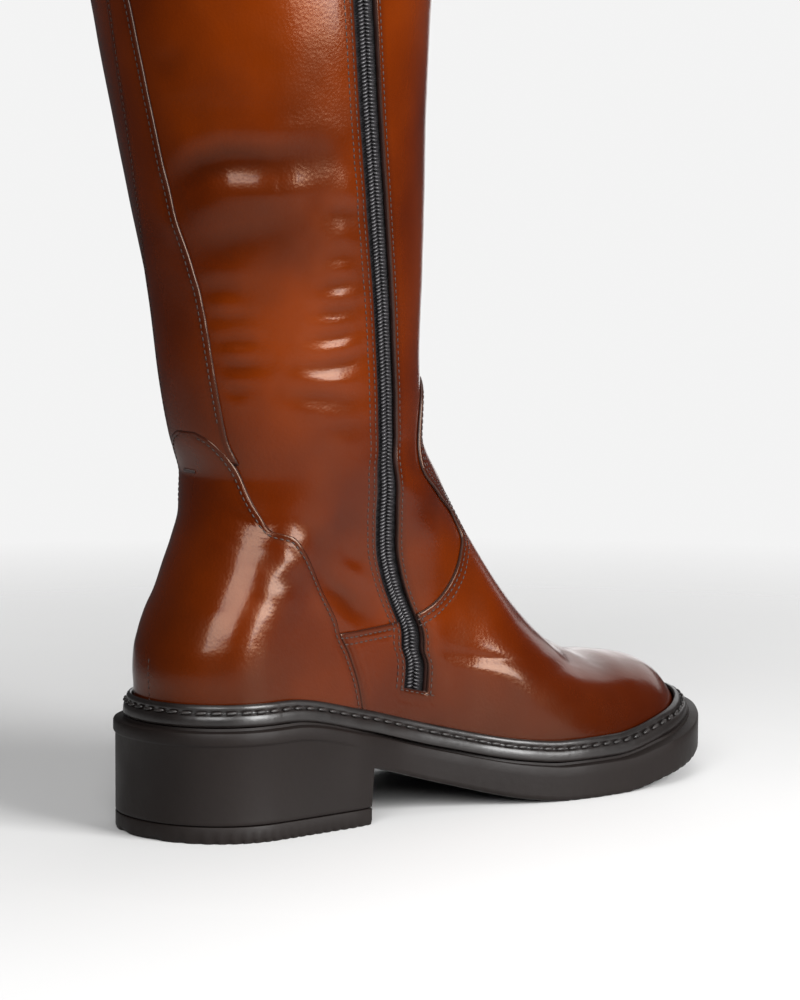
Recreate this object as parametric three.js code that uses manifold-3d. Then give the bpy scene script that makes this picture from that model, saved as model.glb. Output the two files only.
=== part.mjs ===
// Knee-high leather boot for the left foot, with a block heel and a zip up the inner side.
// Millimetres. +Z is up, the toe points to -Y and the outer side of the foot is +X.
import * as THREE from "three";
import Module from "manifold-3d";

const wasm = await Module();
wasm.setup();

// Sole
const SOLE_LENGTH = 275;
const SOLE_HALF_WIDTH = 51; // widest half of the outline, at the ball
const HEEL_SEAT_HEIGHT = 42; // floor to the top of the sole's lip at the heel
const FOREFOOT_EDGE = 13.8; // thickness of the sole at the ball
const WAIST_EDGE = 12.6; // thickness of the sole at the heel breast
const TOE_SPRING = 13.8; // how far the toe stands off the floor
const HEEL_BREAST = 86; // back of the sole to the front face of the heel
const BREAST_SLOPE = 1.5;
const HEEL_ROUND = 38; // length over which the outline rounds off at the heel
const TOE_ROUND = 48.5;
const HEEL_SQUARENESS = 2.2;
const TOE_SQUARENESS = 2.1;
const LIP_DEPTH = 4.6; // upright band of the lip above the cove
const COVE = 0.8; // how far the heel is set in below the lip
const SOLE_SOFT_EDGE = 1.2;
const HEEL_LIFT = 6.5;
const LIFT_GROOVE = 0.6;

// Upper
const UPPER_SET_BACK = 9.2; // back of the sole to the back of the upper
const UPPER_TOE_SET_BACK = 9.4; // toe of the sole to the toe of the upper
const TOE_SEAT = 26.9; // floor to the sole's lip under the toe of the upper
const FOOT_HALF_WIDTH = 42.6; // ball of the upper, half of its width
const ANKLE_RISE = 89.7; // heel seat to the narrowest place at the back
const INSTEP_RISE = 119.1; // toe seat to the front of the ankle
const ANKLE_HALF_WIDTH = 38;
const SHAFT_RISE = 293; // ankle to collar at the back
const SHAFT_FRONT_RISE = 279; // ankle to collar at the front
const CALF_DEPTH = 141; // front to back at the collar
const CALF_HALF_WIDTH = 59.5;
const SHAFT_LEAN = 42; // how far the collar stands back from the ankle
const TOE_REACH = 44; // length over which the upper rounds off at the toe
const HEEL_REACH = 31;
const UPPER_SQUARENESS = 2.15;
const SAG_LEVELS = 9; // levels over which the curve of the sole fades out of the upper
const WALL = 2.2;

// Overlays, welt and insole
const CLEARANCE = 0.3;
const SEAT_CLEARANCE = 1; // between the sole and what stands on it
const BLOCK_DEPTH = 5; // how far a cutting block reaches to either side of the surface
const OVERLAY = 1.1; // leather laid over the upper
const COUNTER = 1.5;
const WELT_WIDTH = 3.6;
const WELT_HEIGHT = 8.5;
const INSOLE = 3.2;

// Zip
const ZIP_OPENING = 11;
const ZIP_CHAIN = 5;
const ZIP_CHAIN_DEPTH = 1.7;
const ZIP_TAPE_WIDTH = 26;
const ZIP_TAPE = 0.8;
const ZIP_FOOT_LEVEL = 2.3;
const ZIP_END = 0.6; // levels by which the tape runs on past the slot
const SLIDER_LENGTH = 12;
const SLIDER_WIDTH = 8.4;
const SLIDER_PLATE = 1.5;
const SLIDER_STAND = 0.4; // gap between the chain and the slider's plate
const SLIDER_LEVEL = 18.5;
const BRIDGE_LENGTH = 6;
const BRIDGE_WIDTH = 2.2;
const BRIDGE_HEIGHT = 3.2;
const BRIDGE_BAR = 0.9;
const PULL_LENGTH = 26;
const PULL_WIDTH = 6.4;
const PULL_THICKNESS = 1.3;
const PULL_EYE_LENGTH = 4.4;
const PULL_EYE_WIDTH = 3;
const PULL_PIN_RISE = 1.2; // pull's pin above the slider's plate
const PULL_EYE_RIM = 1.2;

// Numbers of facets
const TURN_STEPS = 40;
const HEEL_STATIONS = 9;
const FORE_STATIONS = 22;

// The sole from heel to toe: along is a share of its length, the half widths are shares
// of SOLE_HALF_WIDTH.
const SOLE_WIDTHS = [
  { along: 0.0, inner: 0.753, outer: 0.712 },
  { along: 0.13, inner: 0.802, outer: 0.745 },
  { along: 0.27, inner: 0.767, outer: 0.757 },
  { along: 0.38, inner: 0.667, outer: 0.78 },
  { along: 0.5, inner: 0.757, outer: 0.896 },
  { along: 0.6, inner: 0.912, outer: 0.994 },
  { along: 0.7, inner: 0.976, outer: 1.016 },
  { along: 0.84, inner: 0.939, outer: 0.959 },
  { along: 1.0, inner: 0.769, outer: 0.745 },
];

// Height of the sole's lip. A row's height is its share of the heel seat above the ball,
// or its share of the toe spring above the ball.
const SOLE_HEIGHTS = [
  { along: 0.0, heel: 1.0, toe: 0 },
  { along: 0.164, heel: 1.0, toe: 0 },
  { along: 0.305, heel: 0.734, toe: 0 },
  { along: 0.44, heel: 0.376, toe: 0 },
  { along: 0.582, heel: 0.064, toe: 0 },
  { along: 0.647, heel: 0, toe: 0 },
  { along: 0.742, heel: 0, toe: 0 },
  { along: 0.851, heel: 0, toe: 0.348 },
  { along: 1.0, heel: 0, toe: 1.0 },
];

// Levels of the foot, each a loop round the upper from its back to its front.
// back and front: shares of SOLE_LENGTH. heel_rise: share of ANKLE_RISE.
// toe_rise and dip: shares of INSTEP_RISE. ahead, above: shares of TOE_REACH.
// behind: share of HEEL_REACH. width: share of ANKLE_HALF_WIDTH.
const FOOT_LEVELS = [
  { name: "edge", back: 0.0273, heel_rise: 0.0, front: 0.9709, toe_rise: 0.0, ahead: 1.0, above: 0.68, behind: 1.0, width: 0.816, dip: 0.0 },
  { name: "toe wall", back: 0.0273, heel_rise: 0.108, front: 0.947, toe_rise: 0.081, ahead: 1.0, above: 0.64, behind: 1.0, width: 0.816, dip: 0.017 },
  { name: "toe bend", back: 0.0255, heel_rise: 0.197, front: 0.9236, toe_rise: 0.148, ahead: 1.0, above: 0.59, behind: 1.0, width: 0.816, dip: 0.042 },
  { name: "toe top", back: 0.0273, heel_rise: 0.275, front: 0.887, toe_rise: 0.198, ahead: 1.0, above: 0.59, behind: 1.0, width: 0.816, dip: 0.059 },
  { name: "toe box back", back: 0.0345, heel_rise: 0.353, front: 0.836, toe_rise: 0.223, ahead: 1.0, above: 0.64, behind: 1.0, width: 0.816, dip: 0.05 },
  { name: "flex", back: 0.0455, heel_rise: 0.431, front: 0.767, toe_rise: 0.249, ahead: 1.0, above: 0.77, behind: 1.0, width: 0.816, dip: 0.042 },
  { name: "ball", back: 0.0636, heel_rise: 0.521, front: 0.6964, toe_rise: 0.32, ahead: 1.0, above: 0.91, behind: 1.0, width: 0.842, dip: 0.034 },
  { name: "instep", back: 0.0782, heel_rise: 0.621, front: 0.6236, toe_rise: 0.471, ahead: 1.02, above: 1.02, behind: 1.03, width: 0.868, dip: 0.017 },
  { name: "high instep", back: 0.0945, heel_rise: 0.732, front: 0.56, toe_rise: 0.664, ahead: 1.05, above: 1.14, behind: 1.1, width: 0.895, dip: 0.0 },
  { name: "throat", back: 0.1073, heel_rise: 0.855, front: 0.5055, toe_rise: 0.84, ahead: 1.09, above: 1.36, behind: 1.23, width: 0.947, dip: 0.0 },
  { name: "ankle", back: 0.1091, heel_rise: 1.0, front: 0.4673, toe_rise: 1.0, ahead: 1.14, above: 1.59, behind: 1.42, width: 1.0, dip: 0.0 },
];

// Levels of the shaft. rise: share of SHAFT_RISE, front_rise: share of SHAFT_FRONT_RISE.
// back: share of SHAFT_LEAN behind the ankle. depth: share of CALF_DEPTH.
// width: share of CALF_HALF_WIDTH.
const SHAFT_LEVELS = [
  { name: "above ankle", rise: 0.055, front_rise: 0.057, back: 0.13, depth: 0.715, width: 0.664 },
  { name: "low shin", rise: 0.13, front_rise: 0.122, back: 0.238, depth: 0.742, width: 0.689 },
  { name: "shin", rise: 0.225, front_rise: 0.208, back: 0.333, depth: 0.77, width: 0.739 },
  { name: "low calf", rise: 0.341, front_rise: 0.323, back: 0.5, depth: 0.815, width: 0.815 },
  { name: "calf", rise: 0.457, front_rise: 0.437, back: 0.667, depth: 0.859, width: 0.882 },
  { name: "high calf", rise: 0.573, front_rise: 0.552, back: 0.833, depth: 0.912, width: 0.941 },
  { name: "full calf", rise: 0.693, front_rise: 0.677, back: 0.976, depth: 0.972, width: 0.975 },
  { name: "below knee", rise: 0.846, front_rise: 0.839, back: 1.0, depth: 0.993, width: 0.992 },
  { name: "collar", rise: 1.0, front_rise: 1.0, back: 1.0, depth: 1.0, width: 1.0 },
];

// Half widths of the foot from heel to toe, as shares of FOOT_HALF_WIDTH.
const FOOT_WIDTHS = [
  { along: 0.0, inner: 0.69, outer: 0.66 },
  { along: 0.124, inner: 0.74, outer: 0.69 },
  { along: 0.262, inner: 0.7, outer: 0.705 },
  { along: 0.378, inner: 0.65, outer: 0.73 },
  { along: 0.502, inner: 0.72, outer: 0.864 },
  { along: 0.6, inner: 0.876, outer: 0.977 },
  { along: 0.698, inner: 0.953, outer: 1.0 },
  { along: 0.836, inner: 0.908, outer: 0.932 },
  { along: 0.975, inner: 0.73, outer: 0.73 },
];

// Edges of the overlays. level: a place in the levels above, counted from the sole's edge.
// around: 0 at the front of the boot, 1 at its back.
const VAMP_EDGE = [
  { level: 0.0, around: 0.67 },
  { level: 4.9, around: 0.67 },
  { level: 5.2, around: 0.617 },
  { level: 5.6, around: 0.567 },
  { level: 6.04, around: 0.507 },
  { level: 6.44, around: 0.45 },
  { level: 6.96, around: 0.373 },
  { level: 7.32, around: 0.317 },
  { level: 7.7, around: 0.25 },
  { level: 8.02, around: 0.187 },
  { level: 8.36, around: 0.177 },
  { level: 8.78, around: 0.23 },
  { level: 9.32, around: 0.273 },
  { level: 9.84, around: 0.247 },
  { level: 11.0, around: 0.19 },
  { level: 11.35, around: 0.13 },
  { level: 11.5, around: 0.05 },
];
const COUNTER_EDGE = [
  { level: 0.0, around: 0.63 },
  { level: 3.14, around: 0.627 },
  { level: 5.46, around: 0.627 },
  { level: 6.98, around: 0.653 },
  { level: 7.98, around: 0.693 },
  { level: 8.32, around: 0.717 },
  { level: 8.5, around: 0.77 },
  { level: 9.0, around: 0.803 },
  { level: 10.04, around: 0.85 },
  { level: 10.78, around: 0.89 },
  { level: 11.05, around: 0.93 },
  { level: 11.15, around: 0.97 },
];
const STRIP_EDGE = [
  { level: 10.4, around: 0.853 },
  { level: 10.88, around: 0.863 },
  { level: 12.04, around: 0.873 },
  { level: 13.12, around: 0.893 },
  { level: 14.14, around: 0.937 },
  { level: 15.56, around: 0.96 },
  { level: 17.0, around: 0.972 },
  { level: 19.0, around: 0.972 },
];
// Middle of the zip.
const ZIP_LINE = [
  { level: 2.0, around: 0.548 },
  { level: 4.8, around: 0.506 },
  { level: 6.35, around: 0.475 },
  { level: 7.6, around: 0.473 },
  { level: 8.5, around: 0.455 },
  { level: 10.2, around: 0.407 },
  { level: 11.7, around: 0.404 },
  { level: 14.1, around: 0.447 },
  { level: 15.8, around: 0.473 },
  { level: 17.2, around: 0.485 },
  { level: 19.0, around: 0.485 },
];

// Section of the welt: out from the upper's surface as a share of its width, and up the
// upper as a share of its height. The last four rows are its rolled bead.
const WELT_SECTION = [
  { out: 0.0, up: 0.03 },
  { out: 0.95, up: 0.03 },
  { out: 1.0, up: 0.3 },
  { out: 0.9, up: 0.62 },
  { out: 0.62, up: 0.68 },
  { out: 0.72, up: 0.84 },
  { out: 0.45, up: 1.0 },
  { out: 0.1, up: 0.97 },
];

const column = (rows, name) => rows.map((row) => row[name]);

// A curve through the rows of a table that rises and falls only where they do.
function curveThrough(xs, ys) {
  const last = xs.length - 1;
  const steps = xs.slice(1).map((x, i) => x - xs[i]);
  const slopes = steps.map((step, i) => (ys[i + 1] - ys[i]) / step);
  const endSlope = (h0, h1, s0, s1) => {
    const slope = ((2 * h0 + h1) * s0 - h0 * s1) / (h0 + h1);
    if (Math.sign(slope) !== Math.sign(s0)) return 0;
    if (Math.sign(s0) !== Math.sign(s1) && Math.abs(slope) > 3 * Math.abs(s0)) return 3 * s0;
    return slope;
  };
  const tangents = ys.map((_, i) => {
    if (i === 0) return endSlope(steps[0], steps[1], slopes[0], slopes[1]);
    if (i === last) {
      return endSlope(steps[i - 1], steps[i - 2], slopes[i - 1], slopes[i - 2]);
    }
    if (slopes[i - 1] * slopes[i] <= 0) return 0;
    const before = 2 * steps[i] + steps[i - 1];
    const after = steps[i] + 2 * steps[i - 1];
    return (before + after) / (before / slopes[i - 1] + after / slopes[i]);
  });
  return (x) => {
    const held = Math.min(Math.max(x, xs[0]), xs[last]);
    let i = 0;
    while (i < last - 1 && held > xs[i + 1]) i += 1;
    const step = steps[i];
    const t = (held - xs[i]) / step;
    const rest = 1 - t;
    return (
      ys[i] * (1 + 2 * t) * rest * rest +
      ys[i + 1] * (3 - 2 * t) * t * t +
      step * (tangents[i] * t * rest * rest - tangents[i + 1] * rest * t * t)
    );
  };
}

const tableCurve = (rows, from, to, scale = 1) =>
  curveThrough(column(rows, from), column(rows, to).map((value) => value * scale));

// Rounding of an edge: 0 on the edge, 1 at the distance where the form is full.
function rounding(share, squareness) {
  const left = Math.min(Math.max(1 - share, 0), 1);
  return (1 - left ** squareness) ** (1 / squareness);
}

function easedStep(value, low, high) {
  const t = Math.min(Math.max((value - low) / (high - low), 0), 1);
  return t * t * (3 - 2 * t);
}

// Closed form from faces of three or four points. Equal points become one corner.
function makeForm() {
  const corners = [];
  const index = new Map();
  const triangles = [];
  const cornerOf = (point) => {
    const key = point.map((value) => Math.round(value * 1e4)).join(",");
    if (!index.has(key)) {
      index.set(key, corners.length);
      corners.push(point);
    }
    return index.get(key);
  };
  const triangle = (a, b, c) => {
    const [i, j, k] = [a, b, c].map(cornerOf);
    if (i !== j && j !== k && k !== i) triangles.push(i, j, k);
  };
  const quad = (a, b, c, d) => {
    triangle(a, b, c);
    triangle(a, c, d);
  };
  const solid = () => {
    const mesh = new wasm.Mesh({
      numProp: 3,
      vertProperties: new Float32Array(corners.flat()),
      triVerts: new Uint32Array(triangles),
    });
    return new wasm.Manifold(mesh);
  };
  return { triangle, quad, solid };
}

function geometryOf(solid) {
  const mesh = solid.getMesh();
  const geometry = new THREE.BufferGeometry();
  const positions = new Float32Array(mesh.numVert * 3);
  for (let i = 0; i < mesh.numVert; i += 1) {
    const start = i * mesh.numProp;
    positions.set(mesh.vertProperties.subarray(start, start + 3), i * 3);
  }
  geometry.setAttribute("position", new THREE.BufferAttribute(positions, 3));
  geometry.setIndex(new THREE.BufferAttribute(mesh.triVerts, 1));
  geometry.computeVertexNormals();
  return geometry;
}

// Loops of equally many points, stacked from the bottom up, with both ends closed by
// strips between the points that face each other.
function stackedSolid(loops) {
  const form = makeForm();
  const count = loops[0].length;
  for (let j = 0; j + 1 < loops.length; j += 1) {
    for (let i = 0; i < count; i += 1) {
      const k = (i + 1) % count;
      form.quad(loops[j][i], loops[j][k], loops[j + 1][k], loops[j + 1][i]);
    }
  }
  const floor = loops[0];
  const roof = loops[loops.length - 1];
  for (let i = 0; i + 1 < count / 2; i += 1) {
    const near = count - 1 - i;
    const far = count - 2 - i;
    form.quad(floor[i], floor[near], floor[far], floor[i + 1]);
    form.quad(roof[i], roof[i + 1], roof[far], roof[near]);
  }
  return form.solid();
}

// Sole
const HEEL_ABOVE_BALL = HEEL_SEAT_HEIGHT - FOREFOOT_EDGE;
const lipHeight = curveThrough(
  column(SOLE_HEIGHTS, "along").map((share) => share * SOLE_LENGTH),
  SOLE_HEIGHTS.map((row) => FOREFOOT_EDGE + row.heel * HEEL_ABOVE_BALL + row.toe * TOE_SPRING),
);
const soleInner = tableCurve(SOLE_WIDTHS, "along", "inner", SOLE_HALF_WIDTH);
const soleOuter = tableCurve(SOLE_WIDTHS, "along", "outer", SOLE_HALF_WIDTH);

function soleHalfWidth(along, inset, widths) {
  const heel = rounding((along - inset) / (HEEL_ROUND - inset), HEEL_SQUARENESS);
  const toe = rounding((SOLE_LENGTH - inset - along) / (TOE_ROUND - inset), TOE_SQUARENESS);
  return (widths(along / SOLE_LENGTH) - inset) * heel * toe;
}

// Distances from the back of the sole at which its outline has points.
const heelStations = Array.from(
  { length: HEEL_STATIONS + 1 },
  (_, i) => (HEEL_BREAST - BREAST_SLOPE) * (1 - Math.cos((Math.PI * i) / 2 / HEEL_STATIONS)),
);
const foreStations = Array.from(
  { length: FORE_STATIONS + 1 },
  (_, i) => HEEL_BREAST + (SOLE_LENGTH - HEEL_BREAST) * Math.sin((Math.PI * i) / 2 / FORE_STATIONS),
);

// A loop round the outline, from the back along the inner side and back along the outer.
function soleLoop(stations, insetAt, heightAt) {
  const side = (sign, widths) =>
    stations.map((station) => {
      const inset = insetAt(station);
      const along = inset + (station / SOLE_LENGTH) * (SOLE_LENGTH - 2 * inset);
      const across = sign * soleHalfWidth(along, inset, widths);
      return [across, -along, heightAt(station)];
    });
  const inner = side(-1, soleInner);
  const outer = side(1, soleOuter);
  return [...inner, ...outer.reverse()];
}

const coveAt = (along) => COVE * (1 - easedStep(along, 0.6 * HEEL_BREAST, HEEL_BREAST));
const edgeThickness = (along) =>
  WAIST_EDGE + (FOREFOOT_EDGE - WAIST_EDGE) * easedStep(along, HEEL_BREAST, 2 * HEEL_BREAST);

function outsoleSolid() {
  const stations = [...heelStations, ...foreStations];
  const isHeel = (along) => along < HEEL_BREAST;
  const underside = (along) =>
    isHeel(along) ? HEEL_LIFT + CLEARANCE : lipHeight(along) - edgeThickness(along);
  const bottomEdge = (along) => (isHeel(along) ? LIFT_GROOVE : SOLE_SOFT_EDGE);
  const loop = (insetAt, heightAt) => soleLoop(stations, insetAt, heightAt);
  return stackedSolid([
    loop((s) => coveAt(s) + bottomEdge(s), underside),
    loop(coveAt, (s) => underside(s) + bottomEdge(s)),
    loop(coveAt, (s) => lipHeight(s) - LIP_DEPTH - COVE),
    loop(() => 0, (s) => lipHeight(s) - LIP_DEPTH),
    loop(() => 0, (s) => lipHeight(s) - SOLE_SOFT_EDGE),
    loop(() => SOLE_SOFT_EDGE, lipHeight),
  ]);
}

function heelLiftSolid() {
  const loop = (inset, height) =>
    soleLoop(heelStations, (s) => coveAt(s) + inset, () => height);
  return stackedSolid([
    loop(LIFT_GROOVE, 0),
    loop(0, LIFT_GROOVE),
    loop(0, HEEL_LIFT - LIFT_GROOVE),
    loop(LIFT_GROOVE, HEEL_LIFT),
  ]);
}

// Upper
const ankleHeight = HEEL_SEAT_HEIGHT + SEAT_CLEARANCE + ANKLE_RISE;
const ankleFrontHeight = TOE_SEAT + INSTEP_RISE;
const edgeRow = FOOT_LEVELS[0];
const ankleRow = FOOT_LEVELS[FOOT_LEVELS.length - 1];
const behindAt = (row) => UPPER_SET_BACK + (row.back - edgeRow.back) * SOLE_LENGTH;
const aheadAt = (row) =>
  SOLE_LENGTH - UPPER_TOE_SET_BACK + (row.front - edgeRow.front) * SOLE_LENGTH;

// Every level in millimetres, from the sole's edge to the collar.
const levels = [
  ...FOOT_LEVELS.map((row) => ({
    back: behindAt(row),
    backHeight: HEEL_SEAT_HEIGHT + SEAT_CLEARANCE + row.heel_rise * ANKLE_RISE,
    front: aheadAt(row),
    frontHeight: TOE_SEAT + row.toe_rise * INSTEP_RISE,
    ahead: row.ahead * TOE_REACH,
    above: row.above * TOE_REACH,
    behind: row.behind * HEEL_REACH,
    width: row.width * ANKLE_HALF_WIDTH,
    dip: row.dip * INSTEP_RISE,
  })),
  ...SHAFT_LEVELS.map((row) => {
    const back = behindAt(ankleRow) - row.back * SHAFT_LEAN;
    const depth = row.depth * CALF_DEPTH;
    return {
      back,
      backHeight: ankleHeight + row.rise * SHAFT_RISE,
      front: back + depth,
      frontHeight: ankleFrontHeight + row.front_rise * SHAFT_FRONT_RISE,
      ahead: depth / 2,
      above: ankleRow.above * TOE_REACH,
      behind: depth / 2,
      width: row.width * CALF_HALF_WIDTH,
      dip: 0,
    };
  }),
];
const COLLAR_LEVEL = levels.length - 1;
const levelNumbers = levels.map((_, i) => i);
const atLevel = Object.fromEntries(
  Object.keys(levels[0]).map((name) => [name, curveThrough(levelNumbers, column(levels, name))]),
);
const frontAtHeight = tableCurve(levels, "frontHeight", "front");
const backAtHeight = tableCurve(levels, "backHeight", "back");
const aheadAtHeight = tableCurve(levels, "frontHeight", "ahead");
const behindAtHeight = tableCurve(levels, "backHeight", "behind");
const shaftWidthAtHeight = tableCurve(levels, "frontHeight", "width");

// Ridge of the foot from the ankle down to the toe, with a steep run-on above the ankle.
const ridge = levels.slice(0, FOOT_LEVELS.length).reverse();
const runOn = { front: 0.8 * ridge[0].front, frontHeight: ankleFrontHeight + SHAFT_RISE };
const ridgeHeight = tableCurve([runOn, ...ridge], "front", "frontHeight");
const ridgeReach = tableCurve(ridge, "front", "above");
const footInner = tableCurve(FOOT_WIDTHS, "along", "inner", FOOT_HALF_WIDTH);
const footOuter = tableCurve(FOOT_WIDTHS, "along", "outer", FOOT_HALF_WIDTH);

// Heights between which the foot's widths give way to the shaft's.
const FOOT_ENDS = HEEL_SEAT_HEIGHT + 0.335 * ANKLE_RISE;
const SHAFT_STARTS = HEEL_SEAT_HEIGHT + 1.09 * ANKLE_RISE;
// Heights between which the ridge stops rounding the form from above.
const RIDGE_FADES = TOE_SEAT + 0.57 * INSTEP_RISE;
const RIDGE_ENDS = TOE_SEAT + 0.91 * INSTEP_RISE;

// Place in the boot's side view of a level, from its back, share 0, to its front, share 1.
function sidePlace(level, share) {
  const back = atLevel.back(level);
  const backHeight = atLevel.backHeight(level);
  const along = back + (atLevel.front(level) - back) * share;
  const dipShare = (share ** 2 * (1 - share ** 8)) / 0.6;
  const chord = backHeight + (atLevel.frontHeight(level) - backHeight) * share;
  const edge = levels[0];
  const edgeShare = Math.min(Math.max((along - edge.back) / (edge.front - edge.back), 0), 1);
  const edgeChord = edge.backHeight + (edge.frontHeight - edge.backHeight) * edgeShare;
  const sag = lipHeight(along) + SEAT_CLEARANCE - edgeChord;
  const sagShare = Math.max(1 - level / SAG_LEVELS, 0) ** 1.4;
  return { along, height: chord - atLevel.dip(level) * dipShare + sag * sagShare };
}

const room = ({ along, height }) => ({
  ahead: frontAtHeight(height) - along,
  below: ridgeHeight(along) - height,
  behind: along - backAtHeight(height),
});

// Half width of the upper at a place, from its room to the ridge and to the back. What room
// the level's own ends have is taken off, so that every level closes there.
function upperHalfWidth(level, share, isInner) {
  const place = sidePlace(level, share);
  const { along, height } = place;
  const here = room(place);
  const front = room(sidePlace(level, 1));
  const back = room(sidePlace(level, 0));
  const ahead = Math.max(here.ahead - front.ahead * share, 0) / aheadAtHeight(height);
  const below = Math.max(here.below - front.below * share, 0) / ridgeReach(along);
  const behind = Math.max(here.behind - back.behind * (1 - share), 0) / behindAtHeight(height);
  const ridgeShare = 1 - easedStep(height, RIDGE_FADES, RIDGE_ENDS);
  const onEdge = ahead === 0 || (ridgeShare > 0 && below === 0);
  const ridgePull = ridgeShare > 0 ? ridgeShare * below ** -2 : 0;
  const inward = onEdge ? 0 : 1 / Math.sqrt(ahead ** -2 + ridgePull);
  const rounded = rounding(inward, UPPER_SQUARENESS) * rounding(behind, UPPER_SQUARENESS);
  const shaftShare = easedStep(height, FOOT_ENDS, SHAFT_STARTS);
  const foot = (isInner ? footInner : footOuter)(along / SOLE_LENGTH);
  return (foot * (1 - shaftShare) + shaftWidthAtHeight(height) * shaftShare) * rounded;
}

// A point of the upper's outside. turn: 0 front, 0.25 inner side, 0.5 back, 0.75 outer side.
function upperPoint(turn, level) {
  const whole = ((turn % 1) + 1) % 1;
  const share = (1 + Math.cos(2 * Math.PI * whole)) / 2;
  const { along, height } = sidePlace(level, share);
  const isInner = whole < 0.5;
  const isMiddle = share < 1e-9 || share > 1 - 1e-9;
  const across = isMiddle ? 0 : upperHalfWidth(level, share, isInner);
  return new THREE.Vector3(isInner ? -across : across, -along, height);
}

function upperNormal(turn, level) {
  const low = Math.max(level - 0.03, 0);
  const high = Math.min(level + 0.03, COLLAR_LEVEL);
  const rise = upperPoint(turn, high).sub(upperPoint(turn, low));
  const run = upperPoint(turn + 0.003, level).sub(upperPoint(turn - 0.003, level));
  const normal = rise.cross(run).normalize();
  // Next to the sole the wall is offset level, so that its foot stays on the sole.
  normal.z *= easedStep(level, 0, 1);
  return normal.normalize();
}

function offsetPoint(turn, level, offset) {
  return upperPoint(turn, level).addScaledVector(upperNormal(turn, level), offset).toArray();
}

const evenLevels = (from, to, step) => {
  const count = Math.max(Math.round((to - from) / step), 1);
  return Array.from({ length: count + 1 }, (_, i) => from + ((to - from) * i) / count);
};

const shellLevels = [...evenLevels(0, 11, 0.73), ...evenLevels(11, COLLAR_LEVEL, 1).slice(1)];

// The upper's own form as a tube, open at the collar and underneath, between two offsets
// from its surface. Every layer of the boot has its facets in the same places.
function layerSolid(low, high) {
  const form = makeForm();
  const ring = (level, offset) =>
    Array.from({ length: TURN_STEPS }, (_, i) => offsetPoint(i / TURN_STEPS, level, offset));
  const outside = shellLevels.map((level) => ring(level, high));
  const inside = shellLevels.map((level) => ring(level, low));
  const top = shellLevels.length - 1;
  for (let i = 0; i < TURN_STEPS; i += 1) {
    const k = (i + 1) % TURN_STEPS;
    for (let j = 0; j < top; j += 1) {
      form.quad(outside[j][i], outside[j + 1][i], outside[j + 1][k], outside[j][k]);
      form.quad(inside[j][i], inside[j][k], inside[j + 1][k], inside[j + 1][i]);
    }
    form.quad(outside[0][i], outside[0][k], inside[0][k], inside[0][i]);
    form.quad(outside[top][i], inside[top][i], inside[top][k], outside[top][k]);
  }
  return form.solid();
}

// The outline of a piece on the upper, as a thick block that cuts it from a layer: between
// two turns at each level. Its first row drops and its last row rises by their own amounts.
function blockSolid({ levelList, across, from, to, drop = 0, lift = 0 }) {
  const form = makeForm();
  const grid = (offset) =>
    levelList.map((level, row) =>
      Array.from({ length: across + 1 }, (_, i) => {
        const turn = from(level) + ((to(level) - from(level)) * i) / across;
        const [x, y, z] = offsetPoint(turn, level, offset);
        if (row === 0) return [x, y, z - drop];
        return [x, y, row === levelList.length - 1 ? z + lift : z];
      }),
    );
  const outer = grid(BLOCK_DEPTH);
  const inner = grid(-BLOCK_DEPTH);
  const top = levelList.length - 1;
  for (let j = 0; j < top; j += 1) {
    for (let i = 0; i < across; i += 1) {
      form.quad(outer[j][i], outer[j + 1][i], outer[j + 1][i + 1], outer[j][i + 1]);
      form.quad(inner[j][i], inner[j][i + 1], inner[j + 1][i + 1], inner[j + 1][i]);
    }
    form.quad(outer[j + 1][0], outer[j][0], inner[j][0], inner[j + 1][0]);
    form.quad(outer[j][across], outer[j + 1][across], inner[j + 1][across], inner[j][across]);
  }
  for (let i = 0; i < across; i += 1) {
    form.quad(outer[0][i], outer[0][i + 1], inner[0][i + 1], inner[0][i]);
    form.quad(outer[top][i], inner[top][i], inner[top][i + 1], outer[top][i + 1]);
  }
  return form.solid();
}

// Turns that a width in millimetres takes up on the surface.
function turnsAcross(width, turn, level) {
  const step = 0.004;
  return (width * step) / upperPoint(turn, level).distanceTo(upperPoint(turn + step, level));
}

const zipAround = tableCurve(ZIP_LINE, "level", "around", 0.5);
function zipBlock({ foot, top, width, lift = 0 }) {
  const half = (level) => turnsAcross(width / 2, zipAround(level), level);
  return blockSolid({
    levelList: evenLevels(foot, top, 0.6),
    across: 2,
    from: (level) => zipAround(level) - half(level),
    to: (level) => zipAround(level) + half(level),
    lift,
  });
}

// Where cuts meet at a corner they can leave a crumb beside the piece.
function withoutCrumbs(solid) {
  const bodies = solid.decompose();
  return bodies.reduce((kept, body) => (body.volume() > kept.volume() ? body : kept));
}

const vampAround = tableCurve(VAMP_EDGE, "level", "around", 0.5);
const counterAround = tableCurve(COUNTER_EDGE, "level", "around", 0.5);
const stripAround = tableCurve(STRIP_EDGE, "level", "around", 0.5);
const lastLevel = (rows) => rows[rows.length - 1].level;

// The counter's outline, with a margin the larger one that clears it.
function counterBlock(margin) {
  const spread = (level) => turnsAcross(margin, counterAround(level), level);
  const top = lastLevel(COUNTER_EDGE);
  return blockSolid({
    levelList: [...evenLevels(0, 6, 0.75), ...evenLevels(6, top, 0.3).slice(1)],
    across: 12,
    from: (level) => counterAround(level) - spread(level),
    to: (level) => 1 - counterAround(level) + spread(level),
    drop: BLOCK_DEPTH,
    lift: margin,
  });
}

const zipSlot = zipBlock({
  foot: ZIP_FOOT_LEVEL,
  top: COLLAR_LEVEL,
  width: ZIP_OPENING,
  lift: BLOCK_DEPTH,
});
const overlayLayer = layerSolid(CLEARANCE, CLEARANCE + OVERLAY);
const roundCounter = counterBlock(CLEARANCE);

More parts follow.
